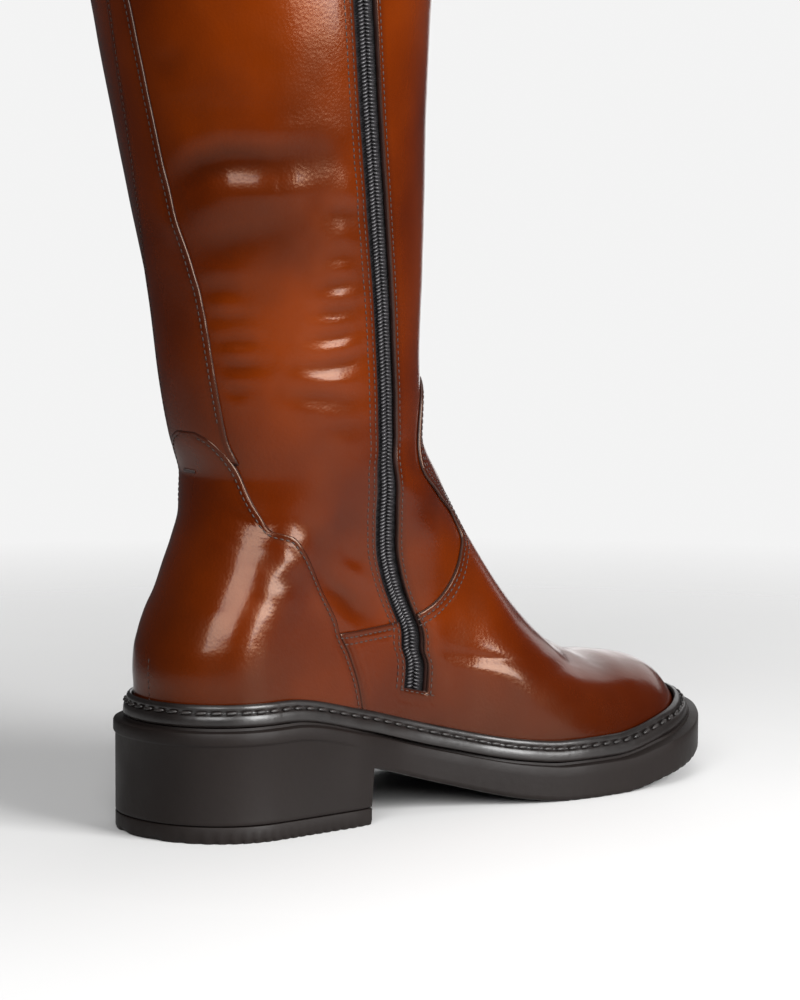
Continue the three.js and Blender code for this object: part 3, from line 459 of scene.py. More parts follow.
# Creases of the worn leather: points of each one's path as (around, level), its half width
# and its depth in millimetres. A negative depth is a raised fold. Around is above 1 on the
# outer side.
CREASES = (
    (((0.92, 14.2), (0.85, 14.5), (0.79, 14.58), (0.71, 14.55), (0.65, 14.55), (0.59, 14.6)), 5.5, 1.7),
    (((0.91, 13.95), (0.83, 14.12), (0.74, 14.2), (0.67, 14.3)), 7.0, -1.5),
    (((0.9, 13.75), (0.82, 13.68), (0.73, 13.82)), 6.0, 0.7),
    (((0.56, 14.3), (0.53, 14.25), (0.51, 14.2)), 4.5, -0.8),
    (((0.57, 13.93), (0.53, 13.96), (0.5, 13.9)), 3.5, 0.7),
    (((0.58, 13.46), (0.54, 13.5), (0.5, 13.44)), 3.0, 0.55),
    (((0.59, 13.15), (0.55, 13.19), (0.5, 13.22)), 3.0, 0.8),
    (((0.61, 12.87), (0.55, 12.84), (0.5, 12.87)), 2.8, 0.75),
    (((0.62, 12.5), (0.55, 12.52), (0.5, 12.58)), 2.8, 0.75),
    (((0.66, 12.12), (0.59, 12.07), (0.53, 12.09), (0.48, 12.16)), 3.0, 0.95),
    (((0.7, 11.76), (0.61, 11.59), (0.54, 11.42), (0.48, 11.39)), 3.2, 0.75),
    (((0.6, 11.1), (0.54, 10.95), (0.48, 10.9)), 3.5, 0.4),
    (((0.89, 13.17), (0.83, 13.22), (0.78, 13.19)), 3.0, 0.7),
    (((0.88, 12.87), (0.83, 12.82), (0.77, 12.82)), 2.8, 0.65),
    (((0.87, 12.54), (0.81, 12.57), (0.75, 12.52)), 2.8, 0.75),
    (((0.86, 12.24), (0.81, 12.19), (0.74, 12.22)), 2.8, 0.8),
    (((0.85, 11.92), (0.82, 11.82), (0.78, 11.87)), 2.6, 0.6),
    (((0.95, 15.55), (0.9, 15.6), (0.85, 15.67)), 4.5, 0.45),
    (((0.9, 9.25), (0.86, 8.89), (0.82, 8.51), (0.79, 8.26)), 3.0, 0.55),
    (((0.92, 8.61), (0.87, 8.31), (0.82, 8.12)), 2.6, 0.4),
    (((0.84, 7.89), (0.79, 7.75), (0.74, 7.85)), 3.4, 0.6),
    (((0.8, 7.4), (0.75, 7.1), (0.7, 6.8)), 3.5, 0.35),
    (((0.7, 8.8), (0.655, 8.31), (0.616, 8.01)), 3.6, 0.5),
    (((0.65, 7.76), (0.616, 6.98), (0.583, 6.63), (0.54, 6.26)), 4.0, 0.9),
    (((0.611, 7.41), (0.573, 7.23), (0.54, 7.16)), 3.4, -0.7),
    (((0.61, 6.5), (0.585, 6.2), (0.56, 6.0)), 3.0, 0.4),
    (((0.05, 6.1), (0.12, 5.48), (0.2, 4.68)), 5.0, 0.8),
    (((0.02, 4.6), (0.1, 4.45), (0.17, 4.25)), 5.0, 0.6),
    (((0.496, 4.18), (0.51, 3.1), (0.52, 2.1)), 4.0, 0.35),
    (((0.342, 9.86), (0.295, 9.51), (0.201, 9.19)), 5.0, 0.7),
    (((0.36, 9.0), (0.3, 8.7), (0.24, 8.5)), 4.5, 0.45),
    (((1.42, 12.9), (1.34, 12.75), (1.26, 12.9)), 5.0, 0.7),
    (((1.5, 12.1), (1.38, 12.0), (1.25, 12.15)), 5.0, 0.8),
    (((1.46, 11.2), (1.36, 11.05), (1.24, 11.2)), 5.0, 0.7),
    (((1.95, 6.1), (1.88, 5.48), (1.8, 4.68)), 5.0, 0.8),
    (((1.98, 4.6), (1.9, 4.45), (1.83, 4.25)), 5.0, 0.6),
    (((1.24, 14.4), (1.33, 14.6), (1.45, 14.5)), 7.0, 0.9),
)
# How much of the depth is pressed in, how far the width spreads, and the ridge that rises
# beside each trough: its share of the depth, its place and its width in half widths.
CREASE_SHARE = 0.62
CREASE_SPREAD = 1.2
RIDGE_SHARE = 0.45
RIDGE_PLACE = 1.7
RIDGE_WIDTH = 0.7

# Section of the welt, out from the upper and up it, as shares of its width and height.
WELT_SECTION = table(
    "out up",
    (0.0, 0.03), (0.9, 0.03), (0.99, 0.07), (1.02, 0.2), (1.0, 0.36), (0.93, 0.5), (0.8, 0.57),
    (0.62, 0.6), (0.56, 0.66), (0.62, 0.74), (0.66, 0.82), (0.6, 0.92), (0.44, 0.99), (0.24, 1.0),
    (0.1, 0.95), (0.03, 0.85),
)


WELT_ROW = table("out up", (0.84, 0.66))
WELT_STATIONS = 420


def row_shift():
    """Move from the boot's own millimetres to the shared frame."""
    low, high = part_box("outsole")
    inner = sole_half_width(np.linspace(0, SOLE_LENGTH, 400), 0, sole_inner).max()
    return np.array([low.x / MM + inner, high.y / MM, 0])


SHIFT = row_shift()


def crease_height(points):
    """How far the leather stands out or in at points of its surface."""
    flat = points.reshape(-1, 3)
    height = np.zeros(len(flat))
    for path, width, depth in CREASES:
        knots = np.array(path)
        share = np.linspace(0, 1, len(knots))
        dense = np.linspace(0, 1, 24)
        around = np.interp(dense, share, knots[:, 0])
        line = upper_point(around / 2, np.interp(dense, share, knots[:, 1]))
        low, high = line.min(0) - 3 * width, line.max(0) + 3 * width
        near = np.flatnonzero(((flat > low) & (flat < high)).all(1))
        if not len(near):
            continue
        gaps = np.linalg.norm(flat[near, None, :] - line[None], axis=2)
        nearest = gaps.argmin(1)
        distance = gaps[np.arange(len(near)), nearest] / (CREASE_SPREAD * width)
        ends = np.sin(np.pi * np.clip(dense[nearest], 0.04, 0.96)) ** 0.6
        beside_it = np.exp(-(((distance - RIDGE_PLACE) / RIDGE_WIDTH) ** 2))
        trough = np.exp(-(distance**2)) - RIDGE_SHARE * beside_it
        height[near] -= CREASE_SHARE * depth * ends * trough
    return height.reshape(points.shape[:-1])


def open_edges(quads):
    """Directed edges that only one face has."""
    pairs = np.concatenate([np.stack([quads[:, i], quads[:, (i + 1) % 4]], 1) for i in range(4)])
    pairs = pairs[pairs[:, 0] != pairs[:, 1]]
    size = quads.max() + 1
    ahead, back = pairs[:, 0] * size + pairs[:, 1], pairs[:, 1] * size + pairs[:, 0]
    return pairs[~np.isin(ahead, back)]


def nearest_gaps(points, marks):
    """Distance from each point to the nearest mark, and which one it is."""
    tree = KDTree(len(marks))
    for i, mark in enumerate(marks):
        tree.insert(mark, i)
    tree.balance()
    found = [tree.find(point) for point in points]
    return np.array([hit[2] for hit in found]), np.array([hit[1] for hit in found])


def mesh_piece(name, points, faces, kinds=None, tags=None):
    """A piece from points in the boot's millimetres, its faces and values of its points."""
    mesh = bpy.data.meshes.new(name)
    mesh.from_pydata(((np.asarray(points) + SHIFT) * MM).tolist(), [], np.asarray(faces).tolist())
    if kinds is not None:
        mesh.polygons.foreach_set("material_index", np.asarray(kinds, np.int32))
    for key, values in (tags or {}).items():
        layer = mesh.attributes.new(key, "FLOAT", "POINT")
        layer.data.foreach_set("value", np.asarray(values, np.float32))
    with edited(mesh) as form:
        loose = [point for point in form.verts if not point.link_faces]
        bmesh.ops.delete(form, geom=loose, context="VERTS")
        bmesh.ops.remove_doubles(form, verts=form.verts, dist=2e-6)
        for face in form.faces:
            face.smooth = True
    return linked(name, mesh)


def sharpen(piece, degrees):
    """Edges that turn by more than an angle stay sharp in the piece's shading."""
    with edited(piece.data) as form:
        for edge in form.edges:
            edge.smooth = edge.is_manifold and edge.calc_face_angle(0) < np.radians(degrees)


def finish_piece(piece, node, slot, *materials, body="boot"):
    for material in materials:
        piece.data.materials.append(material)
    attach(piece, body)
    if node:
        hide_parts(node)
    return piece


class Sheet:
    """A sheet of leather or tape on the boot: rows of levels, columns of turns. Its mask
    says which places between columns and rows are cut out."""

    def __init__(self, turn, level, mask=None, is_ring=False):
        self.turn = turn
        self.level = np.broadcast_to(level[:, None], turn.shape)
        self.point = upper_point(turn, self.level)
        self.normal = upper_normal(turn, self.level)
        self.crease = crease_height(self.point)
        number = np.arange(turn.size).reshape(turn.shape)
        if is_ring:
            number = np.concatenate([number, number[:, :1]], 1)
        quads = [number[:-1, :-1], number[1:, :-1], number[1:, 1:], number[:-1, 1:]]
        quads = np.stack(quads, -1)
        self.quads = quads.reshape(-1, 4) if mask is None else quads[mask]
        self.edge = self.edge_distance()

    def edge_distance(self):
        """Millimetres from each point to the sheet's nearest edge."""
        flat = self.point.reshape(-1, 3)
        start, end = (flat[side] for side in open_edges(self.quads).T)
        marks = np.concatenate([start + (end - start) * share for share in (0, 0.33, 0.67)])
        return nearest_gaps(flat, marks)[0].reshape(self.turn.shape)

    def at(self, offset):
        return self.point + self.normal * (self.crease + offset)[..., None]

    def layer(self, low, thickness, stitches=()):
        """Height of the outside of a layer whose cut edges are rounded and whose stitch
        rows are pulled in."""
        share = np.clip(self.edge / EDGE_ROUND, 0, 1)
        rounded = thickness * (0.5 + 0.5 * np.sqrt(1 - (1 - share) ** 2))
        for inset in stitches:
            rounded = rounded - STITCH_SINK * np.exp(-(((self.edge - inset) / 0.5) ** 2))
        return low + rounded

    def solid(self, name, outer, inner):
        """The sheet as a closed shell between two heights. Its faces carry material 0
        outside, 1 inside and 2 on the edges."""
        count = self.turn.size
        edges = open_edges(self.quads)
        rim = np.concatenate([edges[:, ::-1], edges + count], 1)
        faces = np.concatenate([self.quads, self.quads[:, ::-1] + count, rim])
        kinds = np.repeat([0, 1, 2], [len(self.quads), len(self.quads), len(rim)])
        points = np.concatenate([self.at(outer).reshape(-1, 3), self.at(inner).reshape(-1, 3)])
        tags = {"edge": self.edge, "crease": self.crease}
        doubled = {key: np.tile(value.ravel(), 2) for key, value in tags.items()}
        return mesh_piece(name, points, faces, kinds, doubled)


def rising_levels(low, high, spacing, *stops):
    """Levels a few millimetres apart up the inner side, with the stops among them."""
    dense = np.linspace(low, high, 1500)
    line = upper_point(0.27, dense)
    length = np.concatenate([[0], np.cumsum(np.linalg.norm(np.diff(line, axis=0), axis=1))])
    even = np.interp(np.linspace(0, length[-1], int(length[-1] / spacing) + 2), length, dense)
    kept = [level for level in even if all(abs(level - stop) > 0.012 for stop in stops)]
    return np.sort(np.concatenate([kept, stops]))


def beside(low, high, level, count):
    """Turns of columns between two edges, close together next to both."""
    width = np.clip(high - low, 0, None)

    def gaps_at(edge):
        gaps = turns_across(1, edge, level)[:, None] * EDGE_GAPS
        return gaps * np.minimum(1, 0.45 * width / gaps[:, -1])[:, None]

    near = low[:, None] + gaps_at(low)
    far = (low + width)[:, None] - gaps_at(low + width)[:, ::-1]
    share = np.linspace(0, 1, count + 2)[1:-1]
    middle = near[:, -1:] + (far[:, :1] - near[:, -1:]) * share
    return np.concatenate([near, middle, far], 1)


def slot_edges(level, margin=0.0):
    """Turns of the zip slot's front and back edge."""
    middle = zip_around(level)
    half = turns_across(ZIP_OPENING / 2 + margin, middle, level)
    return middle - half, middle + half


def counter_side(level):
    """Turn where the vamp meets the counter on the inner side."""
    turn = counter_around(level)
    return turn - turns_across(0.12, turn, level)


def crossing(edge, level):
    """Level at which the vamp's edge crosses an edge of the slot."""
    gap = vamp_around(level) - edge
    return level[np.flatnonzero(gap < 0)[0]]


def upper_sheet():
    """The shaft and quarters in one sheet, open along the zip, at the collar and below."""
    top = COLLAR_LEVEL - np.array([0, 0.012, 0.03, 0.055])
    level = rising_levels(0, COLLAR_LEVEL - 0.08, UPPER_ROWS, ZIP_FOOT_LEVEL, ZIP_FOOT_LEVEL + 0.05)
    level = np.sort(np.concatenate([level, top]))
    front, back = slot_edges(level)
    inside = front[:, None] + (back - front)[:, None] * np.linspace(0, 1, SLOT_STEPS + 1)[:-1]
    half = 0.5 + 0 * level
    rear = beside(back, half, level, UPPER_COLUMNS_BEHIND)[:, :-1]
    fore = beside(half, front + 1, level, UPPER_COLUMNS_AHEAD)[:, :-1]
    turn = np.concatenate([inside, rear, fore], 1)
    mask = np.ones((len(level) - 1, turn.shape[1]), bool)
    mask[level[:-1] >= ZIP_FOOT_LEVEL - 1e-6, :SLOT_STEPS] = False
    return Sheet(turn, level, mask, is_ring=True)


def vamp_sheet():
    """The vamp round the foot, cut away at the counter and along the zip's slot."""
    dense = np.linspace(5, 7, 400)
    stops = [crossing(side, dense) for side in slot_edges(dense, 0.1)[::-1]]
    level = rising_levels(0, 11.44, VAMP_ROWS, ZIP_FOOT_LEVEL, *stops)
    level = np.concatenate([level, [11.46, 11.48, 11.5]])
    edge = np.minimum(vamp_around(level), np.where(level < 7, counter_side(level), 1))
    front, back = (np.minimum(edge, side) for side in slot_edges(level, 0.1))
    fore = beside(-edge, front, level, VAMP_COLUMNS_AHEAD)
    slot = front[:, None] + (back - front)[:, None] * np.linspace(0, 1, SLOT_STEPS + 1)[1:-1]
    rear = beside(back, edge, level, VAMP_COLUMNS_BEHIND)
    turn = np.concatenate([fore, slot, rear], 1)
    mask = np.ones((len(level) - 1, turn.shape[1] - 1), bool)
    first, last = fore.shape[1] - 1, fore.shape[1] + slot.shape[1]
    mask[level[:-1] >= ZIP_FOOT_LEVEL - 1e-6, first:last] = False
    mask[(edge - back)[:-1] < 1e-5, last:] = False
    return Sheet(turn, level, mask)


def counter_sheet():
    level = rising_levels(0, 11.1, COUNTER_ROWS, 8.32, 8.5)
    level = np.concatenate([level, [11.12, 11.135, 11.15]])
    side = counter_around(level)
    return Sheet(beside(side, 1 - side, level, COUNTER_COLUMNS), level)


def strip_sheet():
    level = rising_levels(STRIP_EDGE["level"][0], COLLAR_LEVEL - 0.05, STRIP_ROWS)
    level = np.concatenate([level, [COLLAR_LEVEL - 0.02, COLLAR_LEVEL]])
    side = strip_around(level)
    return Sheet(beside(side, 1 - side, level, STRIP_COLUMNS), level)


class Finish:
    """Nodes of one material round its shader."""

    def __init__(self, name, **sockets):
        self.material = bpy.data.materials.new(name)
        self.material.use_nodes = True
        self.nodes = self.material.node_tree.nodes
        self.links = self.material.node_tree.links
        self.shader = self.nodes["Principled BSDF"]
        self.place = self.add("TexCoord").outputs["Object"]
        self.join(self.shader, sockets)

    def join(self, node, sockets):
        for key, value in sockets.items():
            name = int(key[1:]) if key[0] == "_" else key.replace("_", " ")
            if isinstance(value, bpy.types.NodeSocket):
                self.links.new(value, node.inputs[name])
            else:
                node.inputs[name].default_value = value

    def add(self, kind, settings=(), **sockets):
        node = self.nodes.new("ShaderNode" + kind)
        for key, value in dict(settings).items():
            setattr(node, key, value)
        self.join(node, sockets)
        return node

    def noise(self, scale, detail=2.0):
        return self.add("TexNoise", Vector=self.place, Scale=scale, Detail=detail).outputs["Fac"]

    def cells(self, scale):
        return self.add("TexVoronoi", Vector=self.place, Scale=scale).outputs["Distance"]

    def value(self, name):
        return self.add("Attribute", {"attribute_name": name}).outputs["Fac"]

    def ranged(self, value, low, high, to_low, to_high):
        node = self.add("MapRange", Value=value, From_Min=low, From_Max=high)
        self.join(node, {"To_Min": to_low, "To_Max": to_high})
        return node.outputs[0]

    def math(self, operation, first, second):
        return self.add("Math", {"operation": operation}, _0=first, _1=second).outputs[0]

    def mix(self, share, first, second):
        node = self.add("Mix", {"data_type": "RGBA"})
        self.links.new(share, node.inputs[0])
        for slot, colour in ((6, first), (7, second)):
            if isinstance(colour, bpy.types.NodeSocket):
                self.links.new(colour, node.inputs[slot])
            else:
                node.inputs[slot].default_value = (*colour[:3], 1)
        return node.outputs[2]

    def bump(self, height, strength, distance, below=None):
        node = self.add("Bump", Height=height, Strength=strength, Distance=distance)
        if below:
            self.links.new(below, node.inputs["Normal"])
        return node.outputs[0]

    def out(self, **sockets):
        self.join(self.shader, sockets)
        return self.material


# Leather: scales of its clouds, dark patches, dents, pull and grain, in metres the heights over which it
# goes from darker low down to its own colour, and in millimetres the dark strip and the paint at its edges.
CLOUD_SCALE, PATCH_SCALE, DENT_SCALE, PULL_SCALE, GRAIN_SCALE = 11, 9, 45, 330, 820
DARKER_LOW_HEIGHTS = (0.02, 0.075)
DARK_STRIP = 4.5
PAINT_WIDTHS = (0.15, 0.75)


def polished_leather(name, sizes):
    """Burnished calf: two browns in clouds, darker low down and dark at cut edges, with painted shade in its
    creases.
    """
    f = Finish(name, Coat_Weight=0.18, Coat_Roughness=0.12, Specular_IOR_Level=0.26)
    f.join(f.shader, {"Specular_Tint": (1, 0.6, 0.36, 1)})
    clouds = f.ranged(f.noise(CLOUD_SCALE, 3), 0.36, 0.66, 0.0, 1.0)
    colour = f.mix(clouds, sizes.deep_colour, sizes.warm_colour)
    # Darker towards the bottom of the boot, fading out between the two heights.
    low = f.add("SeparateXYZ", Vector=f.place).outputs["Z"]
    darker_low = f.ranged(low, *DARKER_LOW_HEIGHTS, 0.75, 0.0)
    colour = f.mix(darker_low, colour, sizes.burnt_and_crease_shade_colour)
    patches = f.ranged(f.noise(PATCH_SCALE, 4), 0.48, 0.68, 0.0, 0.6)
    colour = f.mix(patches, colour, sizes.burnt_and_crease_shade_colour)
    # Painted shade: the leather is darkened with burnt brown where a crease sinks in.
    trough = f.ranged(f.value("crease"), -1.1, 0.0, 0.6, 0.0)
    colour = f.mix(trough, colour, sizes.burnt_and_crease_shade_colour)
    beside = f.ranged(f.value("edge"), 0.0, DARK_STRIP, 0.6, 0.0)
    colour = f.mix(beside, colour, sizes.burnt_and_crease_shade_colour)
    painted = f.ranged(f.value("edge"), *PAINT_WIDTHS, 1.0, 0.0)
    colour = f.mix(painted, colour, sizes.edge_colour)
    grain = f.cells(GRAIN_SCALE)
    pull = f.noise(PULL_SCALE, 3)
    relief = f.bump(f.noise(DENT_SCALE, 2), 0.12, 0.0012)
    relief = f.bump(grain, 0.28, 0.00014, f.bump(pull, 0.12, 0.0004, relief))
    rough = f.ranged(f.noise(70, 3), 0.3, 0.7, 0.18, 0.27)
    return f.out(Base_Color=colour, Roughness=rough, Normal=relief)


def plain_finish(name, colour, shade, scale, rough, relief, **sockets):
    """A finish of a colour and a shade of it in clouds, with a fine relief."""
    f = Finish(name, **sockets)
    clouds = f.ranged(f.noise(scale, 4), 0.35, 0.65, 0.0, 1.0)
    mixed = f.mix(clouds, colour, [shade * part for part in colour])
    normal = f.bump(f.noise(relief[0], 3), relief[1], relief[2])
    roughness = f.ranged(f.noise(scale * 2.3, 3), 0.3, 0.7, rough - 0.06, rough + 0.06)
    return f.out(Base_Color=mixed, Roughness=roughness, Normal=normal)


def tread_rubber(name, colour, pitch):
    """The sole's underside, with fine bars across it."""
    f = Finish(name)
    bars = f.add("TexWave", {"bands_direction": "Y"}, Vector=f.place, Scale=0.314 / pitch)
    # Painted shade: the bars are darker where their relief sinks in.
    shade = f.mix(bars.outputs["Fac"], [0.55 * part for part in colour[:3]], colour)
    normal = f.bump(bars.outputs["Fac"], 0.8, 0.0012, f.bump(f.noise(700), 0.2, 0.0003))
    rough = f.ranged(f.noise(120, 3), 0.3, 0.7, 0.55, 0.7)
    return f.out(Base_Color=shade, Roughness=rough, Normal=normal)


def woven_textile(name, colour):
    """Zip tape: a fine plain weave."""
    f = Finish(name, Specular_IOR_Level=0.15)
    across = f.add("TexWave", {"bands_direction": "X"}, Vector=f.place, Scale=480)
    along = f.add("TexWave", {"bands_direction": "Z"}, Vector=f.place, Scale=480)
    weave = f.math("MULTIPLY", across.outputs["Fac"], along.outputs["Fac"])
    # Painted shade and highlight: the weave is darker where its relief sinks in and lighter on its
    # crossings.
    shade = f.mix(weave, [0.5 * part for part in colour[:3]], [1.6 * part for part in colour[:3]])
    rough = f.ranged(weave, 0, 1, 0.9, 0.7)
    return f.out(Base_Color=shade, Roughness=rough, Normal=f.bump(weave, 0.5, 0.0003))


def beads_along(name, path, sizes, material, roll=0.0):
    """Beads of one size, set along a path at a pitch: stitches, or the turns of a coil.
    path: an object of edges with the attribute outward."""
    tree = bpy.data.node_groups.new(name + "_rule", "GeometryNodeTree")
    face = tree.interface
    face.new_socket("Path", in_out="INPUT", socket_type="NodeSocketGeometry")
    for key in ("Pitch", "Length", "Width", "Height", "Roll"):
        face.new_socket(key, in_out="INPUT", socket_type="NodeSocketFloat")
    face.new_socket("Material", in_out="INPUT", socket_type="NodeSocketMaterial")
    face.new_socket("Beads", in_out="OUTPUT", socket_type="NodeSocketGeometry")

    def add(kind, settings=(), prefix="GeometryNode"):
        node = tree.nodes.new(prefix + kind)
        for key, value in dict(settings).items():
            setattr(node, key, value)
        return node

    given, made = tree.nodes.new("NodeGroupInput"), tree.nodes.new("NodeGroupOutput")
    curve, spaced = add("MeshToCurve"), add("ResampleCurve", {"mode": "LENGTH"})
    outward = add("InputNamedAttribute", {"data_type": "FLOAT_VECTOR"})
    outward.inputs["Name"].default_value = "outward"
    tangent = add("InputTangent")
    lie = add("AlignRotationToVector", {"axis": "X"}, "FunctionNode")
    stand = add("AlignRotationToVector", {"axis": "Z", "pivot_axis": "X"}, "FunctionNode")
    turned = add("RotateRotation", {"rotation_space": "LOCAL"}, "FunctionNode")
    roll_axis = add("CombineXYZ", (), "ShaderNode")
    bead = add("MeshUVSphere")
    bead.inputs["Segments"].default_value = 8
    bead.inputs["Rings"].default_value = 5
    bead.inputs["Radius"].default_value = 0.5
    size = add("CombineXYZ", (), "ShaderNode")
    placed, real, painted = add("InstanceOnPoints"), add("RealizeInstances"), add("SetMaterial")
    smooth = add("SetShadeSmooth")
    for start, outlet, end, inlet in (
        (given, "Path", curve, "Mesh"),
        (curve, "Curve", spaced, "Curve"),
        (given, "Pitch", spaced, "Length"),
        (spaced, "Curve", placed, "Points"),
        (bead, "Mesh", placed, "Instance"),
        (tangent, "Tangent", lie, "Vector"),
        (lie, "Rotation", stand, "Rotation"),
        (outward, "Attribute", stand, "Vector"),
        (stand, "Rotation", turned, "Rotation"),
        (given, "Roll", roll_axis, "Z"),
        (roll_axis, "Vector", turned, "Rotate By"),
        (turned, "Rotation", placed, "Rotation"),
        (given, "Length", size, "X"),
        (given, "Width", size, "Y"),
        (given, "Height", size, "Z"),
        (size, "Vector", placed, "Scale"),
        (placed, "Instances", real, "Geometry"),
        (real, "Geometry", smooth, "Geometry"),
        (smooth, "Geometry", painted, "Geometry"),
        (given, "Material", painted, "Material"),
        (painted, "Geometry", made, "Beads"),
    ):
        tree.links.new(start.outputs[outlet], end.inputs[inlet])
    rule = path.modifiers.new(name, "NODES")
    rule.node_group = tree
    values = {**sizes, "Roll": roll, "Material": material}
    for item in face.items_tree:
        if item.in_out == "INPUT" and item.name in values:
            rule[item.identifier] = values[item.name]
    seen = path.evaluated_get(bpy.context.evaluated_depsgraph_get())
    mesh = bpy.data.meshes.new_from_object(seen)
    path.modifiers.remove(rule)
    bpy.data.objects.remove(path)
    return linked(name, mesh)


def path_object(name, rows):
    """Open paths as edges, each point with its direction out of the leather."""
    points, outward, edges = [], [], []
    for line, normals in rows:
        start = len(points)
        points += ((line + SHIFT) * MM).tolist()
        outward += normals.tolist()
        edges += [(start + i, start + i + 1) for i in range(len(line) - 1)]
    mesh = bpy.data.meshes.new(name)
    mesh.from_pydata(points, edges, [])
    layer = mesh.attributes.new("outward", "FLOAT_VECTOR", "POINT")
    layer.data.foreach_set("vector", np.array(outward, np.float32).ravel())
    return linked(name, mesh)


def row_on(turn, level, height, inset=0.0):
    """A stitch row along a line on the boot, moved sideways by an inset to its right as
    seen from outside, and out by a height."""
    turn, level = np.broadcast_arrays(np.asarray(turn, float), np.asarray(level, float))
    point = upper_point(turn, level)
    normal = upper_normal(turn, level)
    moved = point + unit(np.cross(np.gradient(point, axis=0), normal)) * inset
    if inset:
        # The surface curves away under the move, so the row is set back onto it.
        reach = np.linspace(-SEARCH_TURN, SEARCH_TURN, SEARCH_TURN_STEPS)
        near_turn = turn[:, None] + reach[None]
        reach = np.linspace(-SEARCH_LEVEL, SEARCH_LEVEL, SEARCH_LEVEL_STEPS)
        near_level = level[:, None, None] + reach[None, :, None]
        grid = upper_point(near_turn[:, None, :], np.clip(near_level, 0, COLLAR_LEVEL))
        gaps = np.linalg.norm(grid - moved[:, None, None], axis=3).reshape(len(turn), -1)
        best = gaps.argmin(1)
        level_step, turn_step = np.divmod(best, SEARCH_TURN_STEPS)
        row = np.arange(len(turn))
        turn = near_turn[row, turn_step]
        level = np.clip(near_level[row, level_step, 0], 0, COLLAR_LEVEL)
        normal = upper_normal(turn, level)
        on_surface = upper_point(turn, level)
        moved = moved - normal * ((moved - on_surface) * normal).sum(1, keepdims=True)
    out = crease_height(moved) + height
    return moved + normal * out[:, None], normal


def leather_rows():
    """Every stitch row on the leather."""
    over, counter_top = CLEARANCE + OVERLAY, CLEARANCE + COUNTER
    dense = np.linspace(5, 7, 400)
    rows = []
    first, second = ZIP_STITCH_INSETS
    for side, inset, sign in ((1, first, 1), (1, second, 1), (0, first, -1)):
        edge = slot_edges(dense, 0.1)[side]
        change = crossing(edge + sign * 0.006, dense)
        for low, high, height in (
            (ZIP_FOOT_LEVEL, change - 0.05, over),
            (change + 0.05, COLLAR_LEVEL - 0.1, 0.0),
        ):
            level = np.linspace(low, high, int(40 + 12 * (high - low)))
            turn = slot_edges(level)[side] + sign * turns_across(inset, zip_around(level), level)
            rows.append(row_on(turn, level, height))
    front, back = slot_edges(np.array([ZIP_FOOT_LEVEL]), 2.0)
    foot = ZIP_FOOT_LEVEL - 0.14
    rows.append(row_on(np.linspace(front[0], back[0], 12), foot, over))
    level = np.linspace(5.05, 11.42, 260)
    edge = vamp_around(level)
    front, back = slot_edges(level)
    for inset in (STITCH_INSET, STITCH_INSET + STITCH_GAP):
        margin = turns_across(inset + 1.5, edge, level)
        clear = (edge < front) | (edge - margin > back)
        for run in np.split(np.arange(len(level)), np.flatnonzero(np.diff(clear)) + 1):
            if clear[run[0]] and len(run) > 3:
                rows.append(row_on(edge[run], level[run], over, inset))
        rows.append(row_on(-edge, level, over, -inset))
    level = np.linspace(0.9, 11.1, 240)
    for turn, sign in ((counter_around(level), -1), (1 - counter_around(level), 1)):
        rows.append(row_on(turn, level, counter_top, sign * STITCH_INSET))
    level = np.linspace(11.35, COLLAR_LEVEL - 0.1, 160)
    for turn, sign in ((strip_around(level), -1), (1 - strip_around(level), 1)):
        rows.append(row_on(turn, level, over, sign * STITCH_INSET))
    level = np.linspace(0.8, 2.7, 14)
    rows.append(row_on(0.5, level, counter_top))
    front, back = (side[0] for side in slot_edges(np.array([COLLAR_ROW_LEVEL]), 2.5))
    strip = float(strip_around(COLLAR_ROW_LEVEL))
    for low, high, height in (
        (back, strip - 0.004, 0.0),
        (strip + 0.004, 0.996 - strip, over),
        (1.004 - strip, 1 + front, 0.0),
    ):
        rows.append(row_on(np.linspace(low, high, 90), COLLAR_ROW_LEVEL, height))
    return rows


def sole_stations(heel_step, fore_step):
    """Distances from the back at which the sole's outline has points."""
    heel = (HEEL_BREAST - BREAST_SLOPE) * (1 - np.cos(np.pi / 2 * np.linspace(0, 1, heel_step)))
    length = SOLE_LENGTH - HEEL_BREAST
    fore = HEEL_BREAST + length * np.sin(np.pi / 2 * np.linspace(0, 1, fore_step))
    return heel, fore


def sole_loop(station, inset, height):
    """The outline from the back along the inner side to the front and back along the outer."""
    inset = inset + 0 * station
    along = inset + station / SOLE_LENGTH * (SOLE_LENGTH - 2 * inset)
    sides = []
    for sign, widths in ((-1, sole_inner), (1, sole_outer)):
        across = sign * sole_half_width(along, inset, widths)
        sides.append(np.stack([across, -along, height + 0 * station], 1))
    return np.concatenate([sides[0], sides[1][::-1]])


def stacked(name, loops):
    """Loops from the bottom up as a closed form. Material 1 is on its underside."""
    count = len(loops[0])
    row = np.arange(count)
    after = (row + 1) % count
    sides = [
        np.stack([row, after, after + count, row + count], 1) + j * count
        for j in range(len(loops) - 1)
    ]
    first = np.arange(count // 2 - 1)
    strip = np.stack([first, count - 1 - first, count - 2 - first, first + 1], 1)
    top = strip[:, ::-1] + (len(loops) - 1) * count
    faces = np.concatenate([*sides, strip, top])
    kinds = np.zeros(len(faces), int)
    kinds[-2 * len(strip) : -len(strip)] = 1
    return mesh_piece(name, np.concatenate(loops), faces, kinds)


